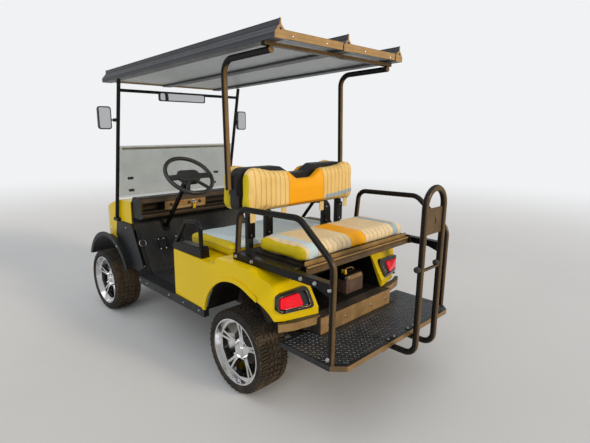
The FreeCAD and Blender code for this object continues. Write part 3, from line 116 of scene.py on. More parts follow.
class Signal:
    """A number or vector that changes over a surface, in one node tree."""

    def __init__(self, tree, socket):
        """Keeps the tree and the output socket that carries the number."""
        self.tree = tree
        self.socket = socket

    def sum(self, operation, other=None):
        """One Math node on this signal and, if given, another signal or a number."""
        node = self.tree.nodes.new("ShaderNodeMath")
        node.operation = operation
        self.tree.links.new(self.socket, node.inputs[0])
        if isinstance(other, Signal):
            self.tree.links.new(other.socket, node.inputs[1])
        elif other is not None:
            node.inputs[1].default_value = other
        return Signal(self.tree, node.outputs[0])

    # Each of these is that node with its operation named. A comparison gives 1 or 0, and
    # zigzag(half) goes up and down between 0 and half, so it is 0 at every second half.
    __add__ = partialmethod(sum, "ADD")
    __sub__ = partialmethod(sum, "SUBTRACT")
    __mul__ = partialmethod(sum, "MULTIPLY")
    __lt__ = partialmethod(sum, "LESS_THAN")
    __gt__ = partialmethod(sum, "GREATER_THAN")
    abs = partialmethod(sum, "ABSOLUTE")
    larger = partialmethod(sum, "MAXIMUM")
    smaller = partialmethod(sum, "MINIMUM")
    zigzag = partialmethod(sum, "PINGPONG")

    def ramp(self, low, high, bottom=0.0, top=1.0):
        """Smooth step from bottom at low to top at high."""
        node = self.tree.nodes.new("ShaderNodeMapRange")
        node.interpolation_type = "SMOOTHSTEP"
        self.tree.links.new(self.socket, node.inputs[0])
        for slot, value in enumerate((low, high, bottom, top), 1):
            node.inputs[slot].default_value = value
        return Signal(self.tree, node.outputs[0])


print("signals ready")

# %% [markdown]
# ## What a signal starts from
# A finish may depend on where a point is, on which way its surface looks, or on chance. Places
# are in metres, so a pattern has its true size on every piece. Noise and scattered cells give
# the uneven part, and a mask blends two colours into one.

# %% Places, normals, noises and blends


def place_of(tree, scale=(1, 1, 1)):
    """Where a point of the surface is, in metres, stretched by scale."""
    source = tree.nodes.new("ShaderNodeTexCoord")
    mapping = tree.nodes.new("ShaderNodeMapping")
    mapping.inputs["Scale"].default_value = scale
    tree.links.new(source.outputs["Object"], mapping.inputs["Vector"])
    return mapping.outputs[0]


def axes_of(tree, vector=None):
    """X, Y and Z as three signals, of the surface point or of another vector."""
    split = tree.nodes.new("ShaderNodeSeparateXYZ")
    tree.links.new(vector or place_of(tree), split.inputs[0])
    return [Signal(tree, output) for output in split.outputs]


def facing(tree):
    """The surface normal's X, Y and Z as three signals."""
    return axes_of(tree, tree.nodes.new("ShaderNodeNewGeometry").outputs["Normal"])


def noise(tree, scale, detail=3.0, stretch=(1, 1, 1), rough=0.5):
    """Cloudy noise around 0.5; scale is its number of lumps in a metre."""
    node = tree.nodes.new("ShaderNodeTexNoise")
    node.inputs["Scale"].default_value = scale
    node.inputs["Detail"].default_value = detail
    node.inputs["Roughness"].default_value = rough
    tree.links.new(place_of(tree, stretch), node.inputs["Vector"])
    return Signal(tree, node.outputs["Fac"])


def cells(tree, scale):
    """Distance to the nearest of many scattered points."""
    node = tree.nodes.new("ShaderNodeTexVoronoi")
    node.inputs["Scale"].default_value = scale
    tree.links.new(place_of(tree), node.inputs["Vector"])
    return Signal(tree, node.outputs["Distance"])


def blended(tree, mask, first, second):
    """The first colour where the mask is 0 and the second where it is 1."""
    node = tree.nodes.new("ShaderNodeMix")
    node.data_type = "RGBA"
    tree.links.new(mask.socket, node.inputs[0])
    for slot, colour in ((6, first), (7, second)):
        if isinstance(colour, Signal):
            tree.links.new(colour.socket, node.inputs[slot])
        else:
            node.inputs[slot].default_value = (*colour, 1)
    return Signal(tree, node.outputs[2])


print("noises ready")

# %% [markdown]
# ## Shared effects
# Road dust, moulded grain and fine scratches turn up on many finishes of a cart that is used
# outdoors, and the dust group also paints low sunlight on faces that look back. Each is a node
# group with named inputs, built once. A group gives only masks and heights; the shader that uses
# them stays in its material.

# %% Make and use node groups


def new_group(name, inputs, outputs):
    """A node group, its inputs as signals by name, and put(label, signal) for its outputs."""
    group = bpy.data.node_groups.new(name, "ShaderNodeTree")
    for label, value in inputs.items():
        socket = group.interface.new_socket(label, in_out="INPUT", socket_type="NodeSocketFloat")
        socket.default_value = value
    for label in outputs:
        group.interface.new_socket(label, in_out="OUTPUT", socket_type="NodeSocketFloat")
    entry = group.nodes.new("NodeGroupInput")
    leave = group.nodes.new("NodeGroupOutput")

    def put(label, signal):
        """Sends a signal to the output of that name."""
        group.links.new(signal.socket, leave.inputs[label])

    return group, {label: Signal(group, entry.outputs[label]) for label in inputs}, put


def effect(tree, group, **values):
    """Places a group in a material with its own values and returns its outputs as signals."""
    node = tree.nodes.new("ShaderNodeGroup")
    node.node_tree = group
    for label, value in values.items():
        node.inputs[label].default_value = value
    return [Signal(tree, output) for output in node.outputs]


print("group helpers ready")

# %% [markdown]
# ## Dust and painted sunlight
# Dust lies on faces that look up and near the road. Faces that look back take it too, which
# stands partly for dust and partly for painted light of the low sun that shone from behind. Noise
# of two sizes breaks it up. The second mask paints a warmer tan of that sunlight on the back of
# dark surfaces.

# %% The group of dust and painted sunlight
DUST_AND_SUN, given, put = new_group("road_dust_and_painted_sun", {"Amount": 0.3, "Reach": 0.6, "Behind": 0.0},
                             ["Mask", "Back"])
normal_x, _, normal_z = facing(DUST_AND_SUN)
upward = normal_z.ramp(0.2, 1.0)
# Faces that look back: here the light of the low sun is painted, in both masks.
behind = (normal_x * -1.0).ramp(0.45, 0.95)
height = axes_of(DUST_AND_SUN)[2].sum("DIVIDE", given["Reach"])
low_down = height.ramp(0.0, 1.0, 1.0, 0.0)
cloud = noise(DUST_AND_SUN, 14, 5).ramp(0.3, 0.75)
speckle = noise(DUST_AND_SUN, 260, 2).ramp(0.45, 0.7)
where = upward * 0.3 + behind * 0.5 + low_down * 0.6
mask = where * (cloud * 0.8 + speckle * 0.35) * given["Amount"]
put("Mask", mask.smaller(1.0))
put("Back", behind * (cloud * 0.25 + speckle * 0.1 + 0.65) * given["Behind"])
print("dust gives", [socket.name for socket in DUST_AND_SUN.interface.items_tree])

# %% [markdown]
# ## Grain and scratches
# The skin of moulded plastic is pebbled: cells with a finer noise on them, as a height.
# Scratches are thin streaks of two directions: noise stretched along one axis, cut to its
# highest parts, and only in some patches.

# %% The groups of grain and scratches
GRAIN, given, put = new_group("moulded_grain", {"Strength": 1.0}, ["Height"])
pebble = cells(GRAIN, 900).ramp(0.0, 0.8)
fine = noise(GRAIN, 1600, 2)
put("Height", (pebble * 0.7 + fine * 0.3) * given["Strength"])

SCRATCH, given, put = new_group("fine_scratches", {"Amount": 0.5}, ["Mask"])
streak = noise(SCRATCH, 60, 2, (1, 14, 14)).ramp(0.62, 0.68)
cross = noise(SCRATCH, 50, 2, (16, 1, 5)).ramp(0.63, 0.69)
patch = noise(SCRATCH, 5, 2).ramp(0.45, 0.65)
put("Mask", streak.larger(cross) * patch * given["Amount"])
print("groups", [group.name for group in bpy.data.node_groups])

# %% [markdown]
# ## A finish
# Every material here follows one plan: two close base colours mixed by large soft noise, a
# height for its relief, dust on top, which on faces that look back is partly painted sunlight, a
# further painted tan of the low sun on those faces where behind is given, and a roughness that
# dust and scratches change. Values that are the same all over go straight onto the shader's
# sockets.

# %% The common plan of a finish
# Colour of dust; on faces that look back it also stands for painted light of the low sun.
DUST_AND_SUN_COLOUR = (0.26, 0.185, 0.11)
# A warm tan painted on the back of dark surfaces as the light of the low sun.
PAINTED_SUN_TAN = (0.54, 0.31, 0.10)


def finish(name, colour, second, rough, spread=6, metal=0.0, coat=0.0, dust=0.2, reach=0.7,
           scratch=0.0, relief=None, depth=0.0004, specular=0.5, behind=0.0):
    """A material; relief(tree) may give a height in parts of depth."""
    material = bpy.data.materials.new(name)
    material.use_nodes = True
    tree = material.node_tree
    shader = tree.nodes["Principled BSDF"]
    shader.inputs["Metallic"].default_value = metal
    shader.inputs["Coat Weight"].default_value = coat
    shader.inputs["Coat Roughness"].default_value = 0.06
    shader.inputs["Specular IOR Level"].default_value = specular
    base = blended(tree, noise(tree, spread, 4).ramp(0.3, 0.7), colour, second)
    dust_and_sun_mask, painted_sun_mask = effect(tree, DUST_AND_SUN, Amount=dust, Reach=reach, Behind=behind)
    # Dust colour, which on faces that look back is partly painted sunlight.
    base = blended(tree, dust_and_sun_mask, base, DUST_AND_SUN_COLOUR)
    # Painted sunlight: a tan on faces that look back, as strong as behind says.
    if behind:
        base = blended(tree, painted_sun_mask, base, PAINTED_SUN_TAN)
    uneven = noise(tree, spread * 7, 4).ramp(0.25, 0.75, rough * 0.85, rough * 1.15)
    roughness = uneven + dust_and_sun_mask * 0.35
    if scratch:
        roughness = roughness + effect(tree, SCRATCH, Amount=scratch)[0] * 0.3
    tree.links.new(base.socket, shader.inputs["Base Color"])
    tree.links.new(roughness.smaller(1.0).socket, shader.inputs["Roughness"])
    if relief:
        bump = tree.nodes.new("ShaderNodeBump")
        bump.inputs["Strength"].default_value = 1.0
        bump.inputs["Distance"].default_value = depth
        tree.links.new(relief(tree).socket, bump.inputs["Height"])
        tree.links.new(bump.outputs[0], shader.inputs["Normal"])
    return material


print("plan ready")

# %% [markdown]
# ## Reliefs
# A relief is a function of a node tree that gives a height. Moulded plastic has a pebbled
# grain, sprayed paint is faintly wavy and powder coat is finely rough; two sizes of noise in
# each keep it from looking like a pattern.

# %% Reliefs of plastic, paint and powder coat


def grainy(strength):
    """Relief of moulded plastic at that strength."""
    return lambda tree: effect(tree, GRAIN, Strength=strength)[0]


def two_noises(first, second, share, detail=(2, 2)):
    """Relief share * a + (1 - share) * b of noises a and b of those two scales."""
    return lambda tree: (noise(tree, first, detail[0]) * share
                         + noise(tree, second, detail[1]) * (1 - share))


orange_peel = two_noises(260, 30, 0.6)
powder = two_noises(900, 220, 0.5)
print("reliefs ready")

# %% [markdown]
# ## Paint, tube and plastic
# The body is sprayed a clear yellow, tube is powder coated with a soft gloss, and moulded
# black plastic is grained and never quite black. Each call states the two colours that the
# eye sees in one surface of that kind; what surfaces of one kind share is written once.

# %% Make the painted and moulded finishes
BLACK, SOFT_BLACK = (0.003, 0.003, 0.0035), (0.005, 0.005, 0.0055)
TUBE = dict(spread=9, reach=0.5, scratch=0.3, relief=powder, depth=0.00006, specular=0.22)
MOULDED = dict(spread=5, reach=0.5, scratch=0.4, relief=grainy(1.0), depth=0.00025, specular=0.35)

yellow_paint = finish("yellow_body_paint", (0.74, 0.515, 0.0008), (0.78, 0.545, 0.001), 0.22, spread=3,
                      coat=0.20, dust=0.02, reach=0.75, scratch=0.25, relief=orange_peel, depth=0.00004,
                      specular=0.14)
# Where behind is given, a finish paints a tan of the low sun on faces that look back: the tubes, struts,
# black plastic, bumper and seat deck here.
tube_black = finish("powder_coated_tube", BLACK, SOFT_BLACK, 0.28, dust=0.02, behind=0.26, **TUBE)
strut_black = finish("rear_strut_tube", BLACK, SOFT_BLACK, 0.28, dust=0.02, behind=0.50, **TUBE)
tube_dark = finish("front_tube", BLACK, SOFT_BLACK, 0.24, dust=0.05, **TUBE)
chassis_black = finish("chassis_paint", (0.006, 0.006, 0.006), (0.013, 0.012, 0.011), 0.6, dust=0.35,
                       reach=0.7, relief=powder, depth=0.0002, specular=0.3)
plastic_black = finish("grained_black_plastic", (0.005, 0.005, 0.0055), (0.009, 0.009, 0.010), 0.42,
                       dust=0.05, behind=0.12, **MOULDED)
toe_black = finish("toe_board_plastic", (0.010, 0.011, 0.013), (0.016, 0.018, 0.021), 0.45,
                   dust=0.06, **MOULDED)
well_black = finish("well_black", (0.003, 0.003, 0.003), (0.006, 0.0055, 0.005), 0.6, dust=0.12,
                    reach=0.6, relief=grainy(1.0), depth=0.00025, specular=0.2)
bezel_black = finish("glossy_bezel", BLACK, SOFT_BLACK, 0.12, coat=0.5, dust=0.03)
# The bumper is black plastic under dust; its tan on the faces that look back is painted light of the low
# sun.
bumper_black = finish("dusty_bumper_with_painted_sun", (0.012, 0.011, 0.010), (0.026, 0.022, 0.018), 0.50, spread=8,
                      dust=0.45, reach=0.9, scratch=1.0, relief=grainy(1.0), depth=0.0003, behind=0.66)
case_brown = finish("charger_case", (0.105, 0.058, 0.042), (0.135, 0.078, 0.056), 0.45, dust=0.2,
                    reach=0.9, relief=grainy(1.0), depth=0.0002)
deck_black = finish("seat_deck_black", (0.006, 0.006, 0.006), (0.013, 0.011, 0.009), 0.62, spread=9,
                    dust=0.18, reach=1.0, scratch=0.6, relief=powder, depth=0.0001, behind=0.75,
                    specular=0.2)
mirror_case = finish("mirror_case", (0.012, 0.012, 0.013), (0.018, 0.018, 0.019), 0.3, dust=0.05,
                     relief=grainy(0.5), depth=0.0001)
grip_black = finish("soft_grip", (0.014, 0.014, 0.015), (0.022, 0.022, 0.022), 0.42, spread=12,
                    dust=0.0, relief=grainy(1.0), depth=0.0002)
print("painted and moulded", len(bpy.data.materials))

# %% [markdown]
# ## Bare metal
# Alloy castings, forged steel, zinc plated fastenings and the worn tread plate are metals under
# some dust. The wheels are machined and polished, so their relief is turning marks: noise
# stretched along the axle.

# %% Make the metal finishes
frame_alloy = finish("frame_alloy", (0.36, 0.36, 0.36), (0.27, 0.265, 0.26), 0.5, metal=1.0, dust=0.7,
                     reach=0.9, scratch=0.6)
forged_steel = finish("forged_steel", (0.16, 0.155, 0.15), (0.22, 0.21, 0.20), 0.5, metal=1.0, dust=0.6,
                      reach=0.8, relief=powder, depth=0.0003)
zinc = finish("zinc_fastenings", (0.62, 0.63, 0.64), (0.50, 0.51, 0.52), 0.3, spread=40, metal=1.0,
              dust=0.15)
# The tread plate's faces that look back get a painted tan of the low sun.
plate_steel = finish("tread_plate", (0.020, 0.024, 0.028), (0.034, 0.038, 0.042), 0.34, spread=14,
                     metal=0.55, dust=0.12, reach=0.9, scratch=0.8, relief=powder, depth=0.0001,
                     behind=0.7)


def brushed_rings(tree):
    """Turning marks of a machined wheel, finest across its axis."""
    return noise(tree, 30, 3, (14, 1, 14)) * 0.6 + noise(tree, 300, 2) * 0.4


polished = finish("polished_wheel_alloy", (0.84, 0.84, 0.85), (0.76, 0.765, 0.775), 0.14, spread=10,
                  metal=1.0, dust=0.12, reach=0.5, scratch=0.2, relief=brushed_rings, depth=0.00003)
print("finishes", len(bpy.data.materials))

# %% [markdown]
# ## Roof finishes
# The long roof rails are extruded or moulded with fine grooves along their length, and the
# pale sheets between them are twin walled, so ribs show through. Both patterns run along the
# cart, so they are sums of Y or of a height that allows for the roof's slope.

# %% Grooved roof profile and ribbed sheet
ROOF_SLOPE = 0.090 / 1.860


def grooves(tree):
    """Four shallow grooves along the roof rails, at heights that follow the roof's slope."""
    x, _, z = axes_of(tree)
    level = z + x * ROOF_SLOPE
    groove = level.zigzag(0.0105).ramp(0.0008, 0.0026)
    return groove + noise(tree, 500, 2) * 0.05


def ribs(tree):
    """Narrow ribs of a twin walled sheet, about 11 mm apart across the cart."""
    return axes_of(tree)[1].zigzag(0.0055).ramp(0.0002, 0.0016)


# The rear faces of the roof rails and board get a strong painted tan of the low sun.
roof_dark = finish("grooved_roof_profile", (0.040, 0.044, 0.052), (0.056, 0.061, 0.070), 0.42, spread=4,
                   dust=0.10, reach=0.5, scratch=0.3, relief=grooves, depth=0.0012, behind=0.95)
roof_tree = roof_dark.node_tree
roof_base = roof_tree.nodes["Principled BSDF"].inputs["Base Color"]
# The grooves' bottoms get a painted shade, darker, except on faces that look forward or back.
plain = grooves(roof_tree).larger(facing(roof_tree)[0].abs() > 0.6)
painted = Signal(roof_tree, roof_base.links[0].from_socket)
roof_with_groove_shade = blended(roof_tree, plain, (0.010, 0.011, 0.013), painted)
roof_tree.links.new(roof_with_groove_shade.socket, roof_base)
roof_pale = finish("twin_wall_sheet", (0.56, 0.62, 0.66), (0.62, 0.68, 0.72), 0.40, spread=3, dust=0.06,
                   reach=0.6, relief=ribs, depth=0.0006)
pale_shader = roof_pale.node_tree.nodes["Principled BSDF"]
pale_shader.inputs["Transmission Weight"].default_value = 0.30
print("roof finishes ready")

# %% [markdown]
# ## Clear parts
# The windshield is a smoky sheet and the lamps are red and clear lenses; the red lens also has a
# faint painted glow. Transmission stays plain on the shader, as for any glass; haze is left to
# roughness, which a clean sheet with some dust has in patches.

# %% Glass and lenses


def clear(name, colour, rough, transmission, ior=1.46, relief=None, depth=0.0005, dust=0.0):
    """A clear or tinted plastic with a slight haze where dust lies."""
    material = finish(name, colour, tuple(0.94 * part for part in colour), rough, spread=3, dust=dust,
                      reach=0.9, relief=relief, depth=depth)
    shader = material.node_tree.nodes["Principled BSDF"]
    shader.inputs["Transmission Weight"].default_value = transmission
    shader.inputs["IOR"].default_value = ior
    return material


def prisms(tree):
    """Small square prisms behind a lens, as its moulded inner face shows."""
    y, z = axes_of(tree)[1:]
    return y.zigzag(0.005).ramp(0.0, 0.005) * 0.5 + z.zigzag(0.005).ramp(0.0, 0.005) * 0.5


smoky = clear("smoky_windshield", (0.80, 0.82, 0.80), 0.03, 1.0, ior=1.2, dust=0.05)
red_lens = clear("red_lens", (0.86, 0.004, 0.016), 0.12, 0.10, relief=prisms, depth=0.0004)
red_shader = red_lens.node_tree.nodes["Principled BSDF"]
# A faint painted glow of the red lens.
red_shader.inputs["Emission Color"].default_value = (1.0, 0.01, 0.03, 1)
red_shader.inputs["Emission Strength"].default_value = 0.14
clear_lens = clear("clear_lens", (0.85, 0.87, 0.88), 0.08, 0.6, relief=prisms, depth=0.0006)
pane_edge = finish("polished_pane_edge", (0.50, 0.42, 0.31), (0.56, 0.48, 0.37), 0.25, dust=0.05)
mirror_face = finish("mirror_face", (0.86, 0.87, 0.88), (0.84, 0.85, 0.86), 0.03, metal=1.0, dust=0.03)
print("clear parts ready")

# %% [markdown]
# ## Dress the CAD nodes
# A node whose shape is right stays and only takes a finish. The table names each node once;
# the nodes missing here are soft or are replaced by pieces made below.

# %% Give each node its finish
NODE_FINISH = {
    yellow_paint: ["rear_body", "front_cowl"],
    tube_black: ["seat_frame", "grab_bar"],
    strut_black: ["rear_struts"],
    tube_dark: ["armrests", "front_struts", "steering_column", "pedals"],
    toe_black: ["floor_pan", "sills", "front_fenders", "front_bumper", "back_shell"],
    plate_steel: ["footplate"],
    deck_black: ["seat_deck", "flip_panel"],
    chassis_black: ["rear_axle", "drive_motor", "rear_springs", "front_springs", "front_axle_beam",
                    "battery_pack"],
    plastic_black: ["dash"],
    pane_edge: ["windshield_hinge"],
    well_black: ["rear_well", "arch_liners"],
    bezel_black: ["tail_lamp_bezels"],
    bumper_black: ["rear_bumper"],
    frame_alloy: ["frame"],
    forged_steel: ["front_left_knuckle", "front_right_knuckle", "tie_rod"],
    case_brown: ["well_charger"],
    mirror_case: ["side_mirrors", "centre_mirror"],
    grip_black: ["steering_wheel"],
    roof_dark: ["roof_frame"],
    roof_pale: ["roof_panels"],
    smoky: ["windshield"],
    red_lens: ["tail_lamp_lenses"],
    clear_lens: ["headlamps"],
    polished: [corner + "_rim" for corner in ("rear_left", "rear_right", "front_left", "front_right")],
}
for material, names in NODE_FINISH.items():
    for slot in [slot for name in names for slot in nodes[name].material_slots]:
        slot.material = material
print("dressed", sum(len(names) for names in NODE_FINISH.values()), "of", len(nodes))

# %% [markdown]
# ## Surfaces from arrays
# New pieces are grids of points: rows along a path and columns across it. One helper lays
# four sided faces over such a grid, and one puts vertices and faces into a mesh. No loop runs
# over vertices; numpy works out whole rows at once.

# %% Arrays to mesh pieces


def place_piece(name, points, faces, material, slot="black_plastic", body="chassis", smooth=True):
    """A mesh piece from an array of points and a list of face arrays, riding on a body."""
    mesh = bpy.data.meshes.new(name)
    mesh.vertices.add(len(points))
    mesh.vertices.foreach_set("co", np.asarray(points, np.float32).ravel())
    corners = np.concatenate([part.ravel() for part in faces])
    counts = np.concatenate([np.full(len(part), part.shape[1]) for part in faces])
    mesh.loops.add(len(corners))
    mesh.loops.foreach_set("vertex_index", corners.astype(np.int32))
    mesh.polygons.add(len(counts))
    mesh.polygons.foreach_set("loop_start", (np.cumsum(counts) - counts).astype(np.int32))
    mesh.polygons.foreach_set("use_smooth", np.full(len(counts), smooth))
    mesh.update(calc_edges=True)
    mesh.materials.append(material)
    piece = new_object(name, mesh)
    if body:
        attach(piece, body)
    return piece


def grid_faces(rows, columns, round_rows=False, round_columns=False):
    """Four sided faces over a grid of points, closed on itself along rows or columns if asked."""
    number = np.arange(rows * columns).reshape(rows, columns)
    if round_rows:
        number = np.vstack([number, number[:1]])
    if round_columns:
        number = np.hstack([number, number[:, :1]])
    corners = [number[:-1, :-1], number[:-1, 1:], number[1:, 1:], number[1:, :-1]]
    return np.stack(corners, -1).reshape(-1, 4)


print("mesh helpers ready")

# %% [markdown]
# ## Rings, stacks and copies
# A turned part, a plate and a rod are all rings of points stacked on each other, with the
# first and the last ring as end faces. A small block that repeats is such a stack too, and its
# face numbers only need a constant added for each copy.

# %% Stacks of rings and their copies


def stacked(rings):
    """Points and faces of a solid whose sections are equal rings, from the first to the last."""
    count, total = len(rings[0]), len(rings) * len(rings[0])
    ends = [np.arange(count)[::-1][None], np.arange(total - count, total)[None]]
    return np.concatenate(rings), [grid_faces(len(rings), count, round_columns=True)] + ends


def copies(points, faces, count):
    """Face arrays for count copies of one small shape whose points follow each other."""
    step = np.arange(count)[:, None, None] * points
    return [(part[None] + step).reshape(-1, part.shape[1]) for part in faces]


def six_sided(rings):
    """Points and faces of many six sided blocks, from an array that ends in (rings, 6, 3)."""
    points, levels = rings.reshape(-1, 3), rings.shape[-3]
    top = np.arange(6 * levels - 6, 6 * levels)[None]
    shape = [grid_faces(levels, 6, round_columns=True), top]
    return points, copies(6 * levels, shape, len(points) // (6 * levels))


def circle(count, radius):
    """Points of a circle in XY as (X, Y, 0) rows."""
    angle = np.arange(count) * 2 * np.pi / count
    return np.stack([radius * np.cos(angle), radius * np.sin(angle), 0 * angle], -1)


print("ring helpers ready")

# %% [markdown]
# ## Carcass of a tyre
# A tyre is a carcass turned about its axle with blocks standing on its tread. The CAD ring
# gives the size: the blocks' tops lie on its tread, so the carcass between them is lower. Half
# of the profile runs from the groove floor over the shoulder and a sidewall with two fine
# rings to the bead; the other half is its mirror image.

# %% Carcass
RADIUS, BLOCK_DEPTH, SEGMENTS = 0.2395, 0.0075, 144
HALF_CARCASS = np.array([
    (0.2318, 0.0), (0.2316, 0.040), (0.2305, 0.075), (0.2275, 0.090), (0.2225, 0.0965),
    (0.2215, 0.0985), (0.2195, 0.0985), (0.2180, 0.0990), (0.2120, 0.1008), (0.2110, 0.1016),
    (0.2095, 0.1016), (0.2085, 0.1012), (0.2030, 0.1010), (0.2018, 0.1018), (0.2000, 0.1018),
    (0.1985, 0.1000), (0.1950, 0.0975), (0.1925, 0.0930), (0.1895, 0.0885), (0.1860, 0.0860),
    (0.1800, 0.0820)])


def carcass():
    """The profile's (radius, across) rows turned about the Y axis, as a grid of points."""
    inner = HALF_CARCASS[::-1][:-1] * (1, -1)
    profile = np.vstack([inner, HALF_CARCASS, [(0.1800, 0.0700)], [(0.1800, -0.0700)]])
    angle = np.arange(SEGMENTS) * 2 * np.pi / SEGMENTS
    radius, across = profile[:, 0][None], profile[:, 1][None]
    return np.stack([radius * np.cos(angle)[:, None], across + 0 * angle[:, None],
                     radius * np.sin(angle)[:, None]], -1)


print("carcass grid", carcass().shape)

# %% [markdown]
# ## Tread blocks
# The pattern is an all terrain one, with staggered shoulder blocks and three rows of angled
# ones. One pitch of it is a table of outlines; the pitch is repeated round the wheel, and each
# block tapers and has a bevel, so it is three rings of six corners.

# %% Blocks of the tread
PITCHES = 40
# Blocks of one pitch as (across, along) corners in millimetres; along is round the wheel.
BLOCKS = [
    [(-12, -15), (2, -18), (10, -6), (9, 7), (-3, 14), (-14, 5)],
    [(15, -12), (27, -16), (40, -8), (42, 3), (30, 11), (17, 6)],
    [(-42, -3), (-30, -11), (-17, -6), (-15, 12), (-27, 16), (-40, 8)],
    [(47, -16), (60, -18), (94, -14), (94, -1), (62, -4), (48, 0)],
    [(50, 5), (62, 1), (88, 4), (88, 16), (64, 13), (52, 15)],
    [(-94, 1), (-60, 4), (-47, 0), (-48, 16), (-62, 18), (-94, 14)],
    [(-88, -16), (-64, -15), (-52, -13), (-50, -4), (-62, -1), (-88, -4)],
]


def crown(across):
    """Radius of the tread's face: a flat parabola, and a steep one more past 80 mm from the middle."""
    past = np.clip(np.abs(across) - 0.080, 0, None)
    return RADIUS - 0.0006 - 22 * past ** 2 - 0.05 * across ** 2


def tread_blocks():
    """Every block as a tapered prism on the crown: six corners below, six above, bevelled."""
    shape = np.array(BLOCKS) / 1000.0
    centre = shape.mean(1, keepdims=True)
    turn = np.arange(PITCHES) * 2 * np.pi / PITCHES
    rings = []
    for spread, sink in ((1.05, BLOCK_DEPTH + 0.003), (0.99, 0.0012), (0.93, 0.0)):
        corner = centre + (shape - centre) * spread
        across, along = corner[..., 0], corner[..., 1]
        radius = crown(across) - sink
        angle = turn[:, None, None] + along[None] / RADIUS
        rings.append(np.stack([radius * np.cos(angle), across + 0 * angle, radius * np.sin(angle)], -1))
    return six_sided(np.stack(rings, 2))


print("blocks in a pitch", len(BLOCKS))

# %% [markdown]
# ## Four tyres
# Carcass and blocks go into one mesh at the wheel's place. The right wheels are mirrored, and
# mirroring turns the faces inside out, so their corners are listed backwards. Only the
# carcass is shaded smooth.

# %% Place the tyres


def box_of(name):
    """Lowest corner, highest corner and middle of a CAD node's box."""
    low, high = (np.array(corner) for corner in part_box(name))
    return low, high, (low + high) / 2


def tyre_piece(corner, outward):
    """Carcass and blocks of one tyre, at its wheel's place."""
    ring = carcass()
    rows, columns = ring.shape[:2]
    block_points, block_faces = tread_blocks()
    points = np.vstack([ring.reshape(-1, 3), block_points]) * (1, outward, 1)
    points = points + box_of(corner + "_tyre")[2]
    shell = grid_faces(rows, columns, True, True)
    faces = [shell] + [part + rows * columns for part in block_faces]
    if outward < 0:
        faces = [part[:, ::-1] for part in faces]
    piece = place_piece("tyre_" + corner, points, faces, rubber, "tyre_rubber", corner + "_wheel", False)
    piece.data.polygons.foreach_set("use_smooth", np.arange(len(piece.data.polygons)) < len(shell))
    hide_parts(corner + "_tyre")
    return len(piece.data.polygons)


# Faces of the tyres that look back get a faint painted tan of the low sun.
rubber = finish("tyre_rubber", (0.012, 0.012, 0.012), (0.024, 0.022, 0.020), 0.70, spread=18,
                dust=0.18, reach=0.6, relief=two_noises(700, 90, 0.6, (3, 3)), depth=0.0004,
                specular=0.25, behind=0.12)
CORNERS = {"rear_left": 1, "rear_right": -1, "front_left": 1, "front_right": -1}
print("tyre faces", [tyre_piece(corner, outward) for corner, outward in CORNERS.items()])

# %% [markdown]
# ## Fastenings and fittings as turned shapes
# Bolts, nuts, caps, knobs and drums are all surfaces of revolution, or nearly so: a hexagon is
# a circle whose radius changes with the angle. One function turns a profile about any axis, so
# each fitting is a list of (radius, height) pairs, and a row of bolts is a list of places.

# %% Turned fittings


def basis(axis):
    """Two directions square to an axis and the axis itself, as columns."""
    axis = np.asarray(axis, float) / np.linalg.norm(axis)
    helper = np.array([0, 0, 1.0]) if abs(axis[2]) < 0.9 else np.array([1.0, 0, 0])
    first = np.cross(helper, axis)
    first /= np.linalg.norm(first)
    return np.stack([first, np.cross(axis, first), axis], 1)


def fitting(profile, hexagon=(), segments=24):
    """Points and faces of a profile turned about +Z; rows named in hexagon get six flat sides."""
    angle = (np.arange(segments) + 0.5) * 2 * np.pi / segments
    flat = np.cos(np.pi / 6) / np.cos((angle + np.pi / 6) % (np.pi / 3) - np.pi / 6)
    rings = []
    for index, (radius, height) in enumerate(profile):
        reach = radius * (flat if index in hexagon else np.ones(segments))
        rings.append(np.stack([reach * np.cos(angle), reach * np.sin(angle), 0 * angle + height], -1))
    return stacked(rings)


def fittings(name, shape, places, material, slot="black_plastic", body="chassis", smooth=False):
    """The same fitting at several (place, axis) pairs, as one piece."""
    points, faces = shape
    moved = np.concatenate([points @ basis(axis).T + np.asarray(place) for place, axis in places])
    place_piece(name, moved, copies(len(points), faces, len(places)), material, slot, body, smooth)


print("fitting helpers ready")

# %% [markdown]
# ## Bolts
# The seat kit is bolted to the body's side, the bumper to the frame and the sills to the floor.
# All heads are the same flanged hexagon in other sizes. Places are given from the rear axle in
# millimetres, as in the CAD model.

# %% Flanged bolts


def at(x, y, z):
    """A place given from the rear axle, in millimetres."""
    return np.array([x / 1000 + REAR_AXLE, y / 1000, z / 1000])


def pairs(places):
    """Each place and its mirror image on the other side, facing outwards."""
    return [(at(x, side * y, z), (0, side, 0)) for x, y, z in places for side in (1, -1)]


def hex_bolt(size):
    """Flanged hexagon bolt head for a thread of that size in metres."""
    profile = [(1.15, -0.3), (1.15, 0.12), (1.05, 0.2), (0.95, 0.22), (0.95, 0.85), (0.8, 0.95),
               (0.3, 0.97)]
    return fitting([(radius * size, height * size) for radius, height in profile], (3, 4))


OUT, UP, BACK = (0, 1, 0), (0, 0, 1), (-1, 0, 0)
frame_bolts = pairs([(10, 534, 783), (-472, 534, 781), (-560, 534, 781), (-645, 530.3, 770),
                     (-645, 530.3, 440), (-120, 534, 781)])
fittings("seat_kit_bolts", hex_bolt(0.0085), frame_bolts, zinc, "axle_steel")
bumper_bolts = [(at(-418, y, 452), BACK) for y in (-264, -120, 120, 264)]
fittings("bumper_bolts", hex_bolt(0.006), bumper_bolts, zinc, "axle_steel")
sill_bolts = pairs((x, 590, 400) for x in (300, 470, 640, 932, 1030))
fittings("sill_bolts", hex_bolt(0.005), sill_bolts, zinc, "axle_steel")
print("bolts", len(frame_bolts) + len(bumper_bolts) + len(sill_bolts))

# %% [markdown]
# ## Wheel fittings
# Four conical nuts, a domed centre cap and a valve stem turn with each wheel, so they ride on
# the wheel's body. Behind the spokes sits a brake drum with a rib round it; it fills the dark
# middle of the wheel as in the photo.

